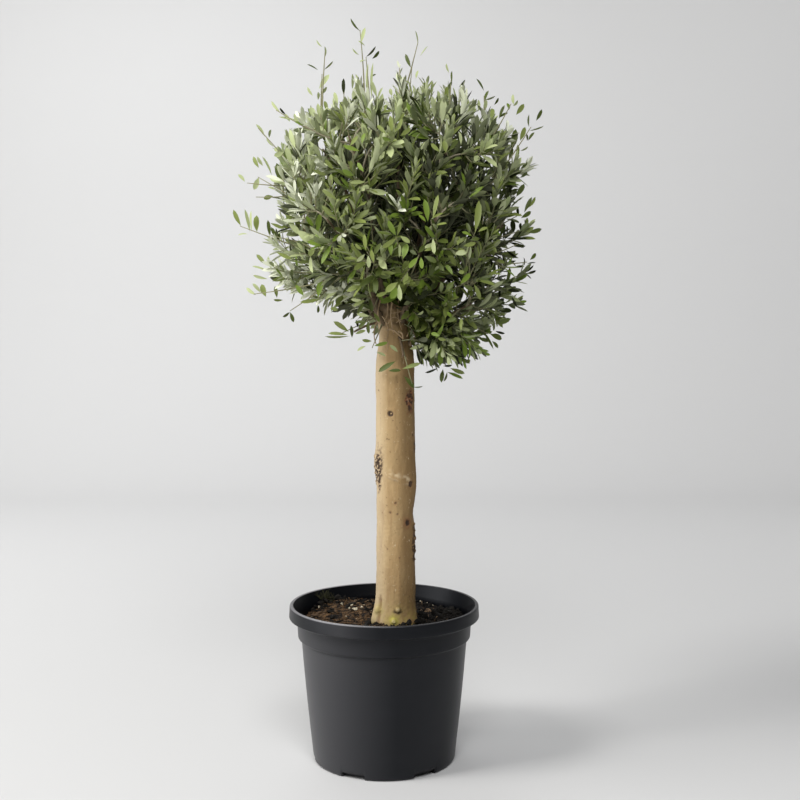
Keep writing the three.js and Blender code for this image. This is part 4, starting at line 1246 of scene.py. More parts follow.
def trunk_bark(settings):
    """Pale smooth bark with long streaks, freckles, and the marks' own dark, red, green and pale places, with
    painted light on its left edge and painted shade on its right side and under the crown.
    """
    paint = Paint("trunk_bark", 0.78, 0.28)
    streaks = paint.noise(paint.place((90, 90, 12)), 1.0, 5, 0.6)
    blotches = paint.noise(paint.place((26, 26, 16)), 1.0, 4, 0.55)
    freckles = paint.noise(paint.place((300, 300, 190)), 1.0, 3, 0.6)
    flecks = paint.noise(paint.place((230, 230, 110)), 1.3, 2, 0.5)
    marks = paint.add("ShaderNodeAttribute", attribute_name="marks")
    parts = paint.add("ShaderNodeSeparateColor", {"Color": marks.outputs["Color"]}).outputs
    layers = (
        (paint.ramp(blotches, 0.34, 0.68), settings.shade),
        (paint.ramp(streaks, 0.5, 0.78), settings.streak),
        # Painted shade: the bark's right side darker, away from the light
        (paint.ramp(paint.axis("X"), -0.004, 0.048, 0.85), settings.right_side_shade),
        # Painted shade under the crown, darker up the trunk
        (paint.ramp(paint.axis("Z"), 0.44, 0.56, 0.25), settings.shaded),
        # Painted light: the bark's left edge paler, where the light falls
        (paint.ramp(paint.axis("X"), 0.006, -0.01, 0.6), (0.56, 0.45, 0.3)),
        # Painted shade: the right edge darker still
        (paint.ramp(paint.axis("X"), 0.021, 0.033, 0.38), (0.1, 0.06, 0.025)),
        (paint.ramp(freckles, 0.64, 0.76), (0.13, 0.075, 0.035)),
        (paint.ramp(flecks, 0.68, 0.8), (0.55, 0.44, 0.28)),
        (parts["Green"], (0.2, 0.075, 0.035)),
        (parts["Blue"], (0.42, 0.37, 0.075)),
        (marks.outputs["Alpha"], (0.68, 0.55, 0.36)),
        (parts["Red"], (0.045, 0.026, 0.016)),
    )
    base = tuple(settings.colour)
    for share, colour in layers:
        base = paint.mix(share, base, tuple(colour))
    paint.colour(base)
    paint.relief(paint.noise(paint.place((260, 260, 90)), 1.0, 6, 0.65), 0.0009, 0.75)
    return paint.material


def young_bark(name, colour, other):
    """Grey-green bark of boughs and twigs, streaked along the limb."""
    paint = Paint(name, 0.8, 0.25)
    paint.colour(paint.mix(paint.noise(paint.place((160, 160, 60)), 1.0, 4, 0.6), colour, other))
    paint.relief(paint.noise(paint.place((500, 500, 200)), 1.0, 3, 0.6), 0.0005, 0.6)
    return paint.material


def leaf_skin(name, colour, roughness, specular):
    """A leaf's waxy skin, in one plain colour."""
    paint = Paint(name, roughness, specular)
    paint.colour(tuple(colour))
    return paint.material


# Settings


def colour_setting(name, description, default):
    """A colour that a user would change."""
    return FloatVectorProperty(name=name, description=description, subtype="COLOR", size=3, min=0, max=1,
                               default=default)


def length_setting(name, description, default):
    """A length that a user would change, in metres."""
    return FloatProperty(name=name, description=description, default=default, unit="LENGTH",
                         subtype="DISTANCE")


def power_setting(name, description, default):
    """The power of a light, in watts."""
    return FloatProperty(name=name, description=description, default=default, unit="POWER")


def share_setting(name, description, default, least=0):
    """A share of at most 1."""
    return FloatProperty(name=name, description=description, default=default, min=least, max=1,
                         subtype="FACTOR")


class OLIVE_PG_pot(PropertyGroup):
    """Sizes and finish of the pot."""

    rim_radius: length_setting("Rim radius", "Outer radius of the pot's rolled rim", RIM_RADIUS * MM)
    height: length_setting("Height", "Height of the rim above the floor", POT_HEIGHT * MM)
    columns: IntProperty(name="Columns", description="Faces between two drain pockets", default=40, min=8)
    roughness: share_setting("Roughness", "How dull the plastic is", 0.4)
    colour: colour_setting("Colour", "Colour of the plastic", (0.0028, 0.0032, 0.0044))


class OLIVE_PG_compost(PropertyGroup):
    """Level and colours of the compost."""

    level: length_setting("Level", "Height of the compost's surface", SOIL_LEVEL * MM)
    crumbs: FloatProperty(name="Crumbs", description="Share of the loose crumbs on the surface", default=1.0,
                          min=0.1, soft_max=1, subtype="FACTOR")
    dark: colour_setting("Dark", "Colour of damp compost", (0.0055, 0.0045, 0.0042))
    light: colour_setting("Light", "Colour of drier compost", (0.155, 0.09, 0.044))


class OLIVE_PG_trunk(PropertyGroup):
    """Bark of the trunk."""

    rows: IntProperty(name="Rows", description="Faces along the trunk", default=460, min=40)
    columns: IntProperty(name="Columns", description="Faces round the trunk", default=160, min=24)
    relief: length_setting("Relief", "Depth of the bark's relief", 0.0011)
    colour: colour_setting("Colour", "Colour of the clean bark", (0.47, 0.345, 0.18))
    shade: colour_setting("Shade", "Colour of the darker blotches", (0.36, 0.24, 0.115))
    streak: colour_setting("Streak", "Colour of the long streaks", (0.26, 0.165, 0.08))
    # Painted shade of the bark's right side, away from the light
    right_side_shade: colour_setting("Weathered", "Colour of the bark on the right side", (0.28, 0.165, 0.06))
    # Painted shade of the bark under the crown
    shaded: colour_setting("Shaded", "Colour of the bark under the crown", (0.2, 0.125, 0.045))


class OLIVE_PG_crown(PropertyGroup):
    """Leaves of the crown."""

    leaf_length: length_setting("Leaf length", "Length of a full-grown leaf", 0.0282)
    leaf_slimness: share_setting("Leaf slimness", "Width of a leaf for its length", 0.26, 0.05)
    # Tints are dealt out by how lit a place is: silver and sage also serve as painted light, deep and dark as
    # painted shade
    silver: colour_setting("Silver", "Upper side of silvery leaves", (0.74, 0.765, 0.61))
    sage: colour_setting("Sage", "Upper side of grey-green leaves", (0.425, 0.48, 0.235))
    olive: colour_setting("Olive", "Upper side of common leaves", (0.195, 0.238, 0.06))
    fresh: colour_setting("Fresh", "Upper side of young leaves", (0.155, 0.228, 0.03))
    deep: colour_setting("Deep", "Upper side of old leaves", (0.075, 0.1, 0.018))
    dark: colour_setting("Dark", "Upper side of the oldest leaves", (0.017, 0.023, 0.004))
    underside: colour_setting("Underside", "Silvery underside", (0.365, 0.395, 0.245))


class OLIVE_PG_stage(PropertyGroup):
    """Camera, light and floor."""

    lens: FloatProperty(name="Lens", description="Focal length of the camera", default=LENS,
                        unit="CAMERA", min=1)
    distance: length_setting("Distance", "From the camera to the pot's axis, level", -CAMERA[1] * MM)
    height: length_setting("Height", "Height of the camera", CAMERA[2] * MM)
    offset: length_setting("Offset", "How far right of the pot's axis the camera stands", CAMERA[0] * MM)
    pitch: FloatProperty(name="Pitch", description="How far the camera looks down",
                         default=CAMERA_PITCH, subtype="ANGLE")
    key: power_setting("Key light", "Power of the large soft light on the left", 84)
    side: power_setting("Side light", "Power of the wide light low on the left", 98)
    back: power_setting("Back light", "Power of the soft light over the floor behind", 23)
    front: power_setting("Front light", "Power of the light high in front", 102)
    wall_left: power_setting("Left wall light", "Power of the light on the backdrop's left", 17)
    wall_right: power_setting("Right wall light", "Power of the light on its right", 25)
    sky: FloatProperty(name="Room light", description="Strength of the even light of the room", default=0.13)


# Pieces


def dress(piece, slot, *nodes):
    """The piece rides on the part's one body and stands for nodes, which are hidden; slot is not used."""
    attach(piece, "root")
    if nodes:
        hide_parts(*nodes)


def add_limbs(name, curves, material, slot, nodes=(), steps=5, sides=5, relief=0.0, seed=0):
    """A piece of tubes along curves, in one material."""
    places, faces = limb_mesh(curves, steps, sides, relief, seed)
    dress(add_piece(name, places, faces, [material]), slot, *nodes)


def wall_radius(height):
    """The pot's outer radius between foot and shoulder: a straight taper with half a sine of belly."""
    share = (height - FOOT_ROUND) / (SHOULDER_FOOT - FOOT_ROUND)
    taper = FOOT_RADIUS * (1 - share) + SHOULDER_FOOT_RADIUS * share
    return taper + BELLY * np.sin(np.pi * share)


def pot_outline(rim, top):
    """Points of radius and height from under the pot's middle, out, up, over its lip and in to its floor."""
    low = top - LIP_HEIGHT
    foot = FOOT_RADIUS - FOOT_ROUND
    shoulder = SHOULDER_FOOT_RADIUS + SHOULDER_FOOT_ROUND
    lip, inside, neck = rim - LIP_LEAN, rim - LIP_WIDTH, NECK_RADIUS - POT_WALL
    heights = np.linspace(FOOT_ROUND, SHOULDER_FOOT - 1, WALL_RINGS)[1:]
    return np.concatenate([
        [[0, 0], [POCKET_REACH - 26, 0], [POCKET_REACH - 0.4, 0], [POCKET_REACH, 0]],
        straight((POCKET_REACH, 0), (foot, 0), 3),
        arc((foot, FOOT_ROUND), FOOT_ROUND, -90, 0, 9)[1:],
        np.stack([wall_radius(heights), heights], -1),
        arc((shoulder, SHOULDER_FOOT + 1.2), SHOULDER_FOOT_ROUND, 180, 130, 7)[1:],
        arc((SHOULDER_TOP_RADIUS - SHOULDER_TOP_ROUND, SHOULDER_TOP - 1.5), SHOULDER_TOP_ROUND, -50, 0, 5),
        straight((SHOULDER_TOP_RADIUS, SHOULDER_TOP), (NECK_RADIUS, low - 1.5), 5),
        arc((NECK_RADIUS + NECK_ROUND, low - NECK_ROUND), NECK_ROUND, 180, 90, 5),
        arc((rim - LIP_ROUND, low + LIP_ROUND), LIP_ROUND, -90, 0, 7),
        straight((rim, low + LIP_ROUND), (lip, top - LIP_ROUND), 4),
        arc((lip - LIP_ROUND, top - LIP_ROUND), LIP_ROUND, 0, 90, 8)[1:],
        arc((inside + INNER_LIP_ROUND, top - INNER_LIP_ROUND), INNER_LIP_ROUND, 90, 180, 6),
        straight((inside, top - INNER_LIP_ROUND), (neck, low), 8),
        straight((neck, low), (SHOULDER_TOP_RADIUS - POT_WALL, SHOULDER_TOP), 4),
        [[SHOULDER_FOOT_RADIUS - POT_WALL, SHOULDER_FOOT], [FOOT_RADIUS - POT_WALL, FOOT_ROUND + POT_FLOOR],
         [FOOT_RADIUS - POT_WALL - FLOOR_ROUND, POT_FLOOR], [0, POT_FLOOR]],
    ])


class OLIVE_OT_pot(Operator):
    """Make the pot: its outline turned round the axis, with pockets raised into its foot"""

    bl_idname = "olive.pot"
    bl_label = "Pot"

    def execute(self, context):
        settings = context.scene.olive_pot
        rim, top = settings.rim_radius / MM, settings.height / MM
        outline = pot_outline(rim, top)
        middles = POCKET_TURN + 2 * np.pi * np.arange(POCKETS) / POCKETS
        first = POCKET_HALF + POCKET_EDGE
        across = np.concatenate([
            np.linspace(-POCKET_HALF, POCKET_HALF, POCKET_FACES),
            np.linspace(first, 2 * np.pi / POCKETS - first, settings.columns),
        ])
        turns = (middles[:, None] + across[None]).ravel()
        places, faces = turned_body(outline, turns)
        outer = np.hypot(places[:, 0], places[:, 1]) > POCKET_REACH - 0.1
        off = np.abs(turn_between(np.arctan2(places[:, 1], places[:, 0])[:, None], middles[None])).min(1)
        under = np.arange(len(places)) < len(turns) * UNDER_RINGS
        pocket = outer & under & (off < POCKET_HALF + 1e-6)
        places[pocket, 2] = np.maximum(places[pocket, 2], POCKET_HEIGHT)
        inner = len(outline) - 2 - INNER_RINGS
        row = np.arange(len(outline) - 3)
        kind = np.where(row >= inner, 2, np.where(outline[1:-2, 1] > SHOULDER_FOOT, 1, 0))
        kinds = np.repeat(np.concatenate([kind, [0, 2]]), len(turns))
        outside = np.arange(len(places)) < inner * len(turns)
        # Painted highlight on the outside, stronger on the pot's left and along its rim's edge
        dust = np.where(outside, self.dust(places, top), 0)
        finishes = [pot_plastic(f"pot_{name}", settings, shine) for name, shine in FINISHES]
        pot = add_piece("pot_shell", places, faces, finishes, kinds, marks={"dust": dust})
        dress(pot, "pot_plastic", "pot")
        return {"FINISHED"}

    def dust(self, places, top):
        """How much painted highlight each corner gets: shares across times shares up, summed for wall, lip
        and edge.
        """
        x, _, z = places.T
        low = top - LIP_HEIGHT
        heights = [SHOULDER_FOOT - 1, SHOULDER_FOOT + 4, low - 1, low + 1, top - 1.6, top - 0.6]
        wall = np.interp(x, *WALL_HIGHLIGHT) * np.interp(z, heights, WALL_HIGHLIGHT_UP)
        lip = np.interp(x, *LIP_HIGHLIGHT) * np.interp(z, heights, LIP_HIGHLIGHT_UP)
        edge = np.interp(x, *EDGE_HIGHLIGHT) * np.interp(z, heights, EDGE_HIGHLIGHT_UP)
        return wall + lip + edge


# Waves of the compost's surface: height, cells each way and seed. Its mound: middle, spans and height
SOIL_WAVES = ((3.2, 9, 31), (1.9, 26, 32), (0.9, 70, 33))
MOUND = (-62, 80, 60, 48, 12.0)


def soil_height(x, y):
    """The compost's surface: noises of three sizes, and a mound at the back left."""
    across, along = np.mod(x / 300 + 0.5, 1), np.clip(y / 300 + 0.5, 0, 1)
    rough = sum(size * closed_noise(across, along, (cells, cells), seed) for size, cells, seed in SOIL_WAVES)
    middle_x, middle_y, wide, deep, rise = MOUND
    return rough + rise * bump((x - middle_x) / wide) * bump((y - middle_y) / deep)


def crumb_shapes(count, seed, flatness=(0.6, 1.0), lying=False):
    """Corners and faces of uneven twenty-faced lumps of size one: a regular solid, each corner pushed.

    Each is squeezed along its axes and turned any way, or, where it is lying, squeezed to a chip that is
    half as wide as long and turned about the upright with a slight tilt.
    """
    golden = (1 + math.sqrt(5)) / 2
    corners = []
    for a, b in ((1, golden), (-1, golden), (1, -golden), (-1, -golden)):
        corners += [(0, a, b), (a, b, 0), (b, 0, a)]
    corners = unit(np.array(corners, float))
    gap = np.linalg.norm(corners[:, None] - corners[None], axis=-1)
    near = (gap > 0) & (gap < 1.1)
    faces = [(i, j, k) for i in range(12) for j in range(i + 1, 12) for k in range(j + 1, 12)
             if near[i, j] and near[j, k] and near[i, k]]
    faces = np.array(faces)
    first, second, third = (corners[faces[:, part]] for part in range(3))
    inward = np.sum(np.cross(second - first, third - first) * first, -1) < 0
    faces[inward] = faces[inward][:, ::-1]
    draw = np.random.default_rng(seed)
    push = draw.uniform(0.55, 1.3, (count, 12, 1))
    shape = corners[None] * push * draw.uniform(*flatness, (count, 1, 3))
    turn = draw.normal(0, 1, (count, 4))
    if lying:
        shape = shape * np.array(CHIP_SHAPE)
        half = draw.uniform(0, np.pi, count)
        turn = np.stack([np.cos(half), *draw.normal(0, 0.08, (2, count)), np.sin(half)], -1)
    turn /= np.linalg.norm(turn, axis=1, keepdims=True)
    w, xyz = turn[:, None, :1], turn[:, None, 1:]
    shape = shape + 2 * np.cross(xyz, np.cross(xyz, shape) + w * shape)
    return shape, faces


def scatter(count, draw, shy=3.0, lean=0.0):
    """Places over the compost between the stem's foot and the pot's wall, more on the right by the lean."""
    radius = np.sqrt(draw.uniform(0.05, 1, count)) * (SOIL_RADIUS - shy)
    turn = draw.uniform(0, 2 * np.pi, count)
    x, y = radius * np.cos(turn), radius * np.sin(turn)
    off_stem = np.hypot(x - TRUNK_X, y - TRUNK_Y) > STEM_CLEAR
    keep = off_stem & (draw.uniform(-1, 1, count) < lean * (x - 20) / 60 + 0.4)
    return x[keep], y[keep]


def add_lumps(name, shape, faces, sizes, places, material):
    """Lumps of certain sizes at certain places, joined in one piece."""
    corners = shape * sizes[:, None, None] + places[:, None]
    base = (np.arange(len(sizes)) * 12)[:, None, None]
    blocks = [(base + faces[None]).reshape(-1, 3)]
    dress(add_piece(name, corners.reshape(-1, 3), blocks, [material], smooth=False), "compost")


def on_soil(across, down):
    """The place on the compost that is seen so far across and down the picture.

    Its depth is the camera's plus the drop to the compost over the slope of the ray, worked out again
    a few times with the compost's height there.
    """
    high = (PICTURE_SIZE / 2 - down) / FOCAL
    slope = (high - math.tan(CAMERA_PITCH)) / (1 + high * math.tan(CAMERA_PITCH))
    level = SOIL_LEVEL
    for _ in range(8):
        place = from_picture(across, down, CAMERA[1] + (level - CAMERA[2]) / slope)
        level = (level + SOIL_LEVEL - 1 + soil_height(place[..., 0], place[..., 1])) / 2
    return place


# How far loose lumps stay from the stem's axis, and how long, wide and thick a lying chip is
STEM_CLEAR = 33
CHIP_SHAPE = (1.0, 0.45, 0.25)
# Lumps that lie anywhere: how many, least and most size, how far sunk, flattest share, lean to the right,
# whether they lie flat, and colours
LUMPS = (
    ("brown_crumbs", 1500, 0.9, 3.6, 0.3, 0.35, -1.0, False, "brown"),
    ("black_crumbs", 2400, 0.9, 4.6, 0.3, 0.4, 1.2, False, "black"),
    ("compost_clods", 170, 3.6, 8.6, 0.45, 0.45, 0.6, False, "black"),
    ("bark_chips", 190, 3.0, 11.0, 0.2, 0.6, -1.0, True, "chip"),
    ("dark_chips", 300, 3.0, 12.0, 0.0, 0.6, -0.3, True, "black"),
    ("white_grains", 18, 0.8, 1.7, 0.2, 0.6, 0.0, False, "white"),
)
# How far a lump's furthest corner is from its middle, in sizes
LUMP_REACH = 1.3
# Middle and size of lumps that lie in certain places
PLACED_CLODS = (
    (39, -50, 229, 6.5), (29, -52, 225, 5.5), (52, -40, 228, 7), (60, -30, 227, 6), (47, -58, 224, 6),
    (-12, -48, 224, 6), (-24, -36, 225, 6), (64, -6, 228, 7), (58, 10, 229, 7), (22, -56, 223, 5),
    (-104, 62, 232, 7), (-96, 66, 236, 5), (-112, 52, 229, 6), (-88, 70, 232, 6), (-78, 74, 229, 6),
    (-70, 60, 231, 6), (-60, 52, 229, 6), (-96, 48, 231, 6), (78, 20, 228, 6), (88, 4, 226, 6),
    (-98, 80, 232, 8), (-88, 88, 233, 8), (-78, 92, 234, 7), (-104, 72, 229, 8), (-66, 96, 234, 6),
)
# Pale things on the compost: across and down the picture, how far above it, and size
PALE_GRAINS = (
    (342, 605, 2, 3.2), (319, 608, 2, 2.9), (421, 603, 2.5, 2.6), (427, 604.5, 2.5, 1.8), (346, 617, 1, 1.4),
    (352, 606, 1.5, 2.6), (364, 606, 1.5, 1.8), (433, 606, 1.5, 1.1), (331, 600, 1.5, 1.2),
)
PALE_CHIPS = ((355, 610, 0.5, 6.4), (361.5, 608, 1.5, 3.4), (349.5, 609, 1, 2.6))
# The tuft of fibres at the back left: its middle, and how many fibres
TUFT = np.array([-97.0, 74, 237])
TUFT_FIBRES = 30


class OLIVE_OT_compost(Operator):
    """Make the compost: its uneven surface, crumbs, bark chips, white grains and fibres"""

    bl_idname = "olive.compost"
    bl_label = "Compost"

    def execute(self, context):
        settings = context.scene.olive_compost
        level = settings.level / MM
        turns = np.linspace(0, 2 * np.pi, 180, endpoint=False)
        radii = np.linspace(0, SOIL_RADIUS + 0.6, 70)[1:]
        low = [[0, level - 16], [radii[-1] - 2.2, level - 16]]
        outline = np.array(low + [[radius, level] for radius in radii[::-1]] + [[0, level]])
        places, faces = turned_body(outline, turns)
        top = np.abs(places[:, 2] - level) < 0.1
        edge = np.hypot(places[:, 0], places[:, 1]) / SOIL_RADIUS
        places[top, 2] += (soil_height(places[:, 0], places[:, 1]) - 1 - 2.5 * edge**8)[top]
        soil = add_piece("compost_surface", places, faces, [compost_mix(settings)])
        dress(soil, "compost", "compost")
        dark, light = tuple(settings.dark), tuple(settings.light)
        grains = {
            "brown": plain_grain("brown_crumb", light, dark, 110),
            "black": plain_grain("black_crumb", dark, BLACK_CRUMB, 120),
            "chip": grain("bark_chip"),
            "white": grain("white_grain"),
        }
        for index, (name, count, least, most, sunk, flat, lean, lying, kind) in enumerate(LUMPS):
            draw = np.random.default_rng(41 + index)
            x, y = scatter(round(count * settings.crumbs), draw, 3.0, lean)
            size = least + (most - least) * draw.uniform(0, 1, len(x)) ** 2.5
            inward = np.minimum(1, (SOIL_RADIUS + 2 - LUMP_REACH * size) / np.hypot(x, y))
            x, y = x * inward, y * inward
            shape, faces = crumb_shapes(len(x), 51 + index, (flat, 1.0), lying)
            thick = CHIP_SHAPE[2] if lying else 1
            lift = SOIL_LEVEL - 1 + soil_height(x, y) + size * thick * (1 - 2 * sunk)
            add_lumps(name, shape, faces, size, np.stack([x, y, lift], -1), grains[kind])
        self.add_placed_lumps(grains)
        self.add_fibres()
        return {"FINISHED"}

    def add_placed_lumps(self, grains):
        """The clods against the trunk and at the back left, and the pale grains and chip on the compost."""
        clods = np.array(PLACED_CLODS, float)
        shape, faces = crumb_shapes(len(clods), 57, (0.55, 1.0))
        add_lumps("placed_clods", shape, faces, clods[:, 3], clods[:, :3], grains["black"])
        for name, rows in (("pale_grains", PALE_GRAINS), ("pale_chips", PALE_CHIPS)):
            across, down, lift, size = np.array(rows, float).T
            places = on_soil(across, down) + lift[:, None] * UP
            shape, faces = crumb_shapes(len(rows), 58, (0.6, 1.0))
            add_lumps(name, shape, faces, size, places, grains["white"])

    def add_fibres(self):
        """Dry fibres and bits of twig lying on the compost, and a tuft of fibres, as thin bent tubes."""
        draw = np.random.default_rng(53)
        x, y = scatter(60, draw, 22, -0.6)
        turn = draw.uniform(0, 2 * np.pi, len(x))
        length = draw.uniform(5, 20, len(x))
        along = np.stack([np.cos(turn), np.sin(turn), draw.normal(0, 0.12, len(x))], -1) * length[:, None]
        start = np.stack([x, y, SOIL_LEVEL + 0.8 + soil_height(x, y)], -1)
        end = start + along
        bend = start + along / 2 + UP * draw.uniform(0.5, 3, len(x))[:, None]
        thick = draw.uniform(0.3, 0.9, len(x))
        add_limbs("dry_fibres", Curves(start, bend, end, thick, thick * 0.6), grain("dry_fibre"), "compost")
        start = TUFT + draw.normal(0, 1, (TUFT_FIBRES, 3)) * [6, 4, 1]
        end = start + draw.normal(0, 1, (TUFT_FIBRES, 3)) * [7, 4, 2]
        end = end + UP * draw.uniform(3, 14, (TUFT_FIBRES, 1))
        bend = (start + end) / 2 + draw.normal(0, 2.5, (TUFT_FIBRES, 3))
        thick = draw.uniform(0.4, 0.9, TUFT_FIBRES)
        add_limbs("tuft", Curves(start, bend, end, thick, thick * 0.5), grain("tuft_fibre"), "compost")


def front_side(twentieths):
    """The side of the trunk seen from the front so many twentieths of its half width right of its middle."""
    return -math.acos(max(-1, min(1, twentieths / 20)))


# Knots: twentieths of the trunk's half width right of its middle, height, radius, depth, how dark, how red
KNOTS = (
    (-4.5, 551, 4.0, 1.8, 1.0, 0.1), (-8.5, 512, 1.4, 0.7, 0.7, 0.1), (-6.5, 511.5, 1.0, 0.5, 0.5, 0.1),
    (14.5, 441, 4.0, 1.8, 0.9, 0.3), (11.5, 381, 4.2, 2.2, 1.0, 0.8), (-1, 413, 1.6, 0.5, 0.6, 0.5),
    (-6, 398, 1.5, 0.4, 0.6, 0.3), (1, 396, 1.4, 0.4, 0.5, 0.3), (-9, 341, 1.3, 0.4, 0.6, 0.2),
    (3, 328, 1.4, 0.3, 0.5, 0.3), (17.5, 517, 1.8, 0.5, 0.8, 0.2), (-17, 586, 1.5, -0.6, 0.6, 0.1),
)
# Stubs: the same with rise for depth, how green for how red, and how pale the middle is
STUBS = (
    (1.5, 247, 4.4, 2.6, 0.95, 0.3, 0.4), (-2.0, 230, 4.6, 3.0, 0.2, 1.3, 0.4),
    (-4.2, 551.5, 2.0, 0.5, 0.0, 0.0, 0.15), (-17.0, 243, 6.0, 2.0, 0.2, 0.5, 0.05),
)
# Rough dark patches: side in degrees, half width in degrees, height, half height, rise, how dark, how red
PATCHES = (
    (-151, 22, 466, 40, 2.2, 0.92, 0.15), (-42, 18, 569, 21, 0.8, 0.85, 0.8),
    (-22, 18, 348, 32, 2.6, 1.2, 0.1), (-16, 9, 500, 12, 0.6, 0.8, 0.1),
)
# The bark's waves: height over the setting's, cells round and along, and seed
BARK_WAVES = ((0.55, (5, 9), 1), (0.5, (14, 16), 2), (0.28, (44, 30), 3), (0.2, (70, 150), 4))
# The scar's side and half width in degrees, height and fall over a radian. Its ridges: rise, how far
# below it, half height and how pale
SCAR_SIDE = -79
SCAR_HALF = 40
SCAR_HEIGHT = 454
SCAR_FALL = 11
SCAR_RIDGES = ((0.3, 0, 3.4, 0.62), (0.25, 8.5, 2.0, 0.26))
# Sides in degrees and heights of the hollow front, the groove at the foot and the wound on the head, and the
# height from which the bark peels
HOLLOW_SIDE = -8
GROOVE_SIDE = -144
GROOVE_HEIGHT = 240
WOUND_SIDE = -122
WOUND_HEIGHT = 714
PEEL_HEIGHT = 672
# Dry strips of bark and dead twigs on the trunk's head: three places across and down the picture, their
# depth along Y, and the radius
STRIPS = (
    ((394, 296), (391, 315), (394, 334), -50, 1.3), ((386, 331), (393, 330), (402, 338), -50, 1.8),
    ((403, 316), (419, 318), (428, 345), -52, 0.8), ((391, 313), (402, 311), (415, 305), -50, 0.9),
    ((382, 316), (388, 328), (386, 340), -48, 1.1), ((381, 298), (378, 312), (381, 324), -45, 1.4),
    ((388, 324), (394, 317), (401, 322), -50, 0.9), ((396, 323), (408, 317), (421, 322), -48, 0.8),
    ((407, 337), (412, 331), (419, 343), -40, 1.0), ((410, 346), (413, 338), (421, 334), -40, 0.8),
    ((386, 296), (388, 310), (384, 322), -49, 1.0), ((399, 300), (398, 314), (402, 330), -49, 0.9),
    ((398, 332), (402, 333), (403, 339), -52, 2.2), ((384, 338), (388, 344), (386, 352), -47, 0.9),
    ((377, 322), (374, 334), (377, 346), -38, 1.1),
)


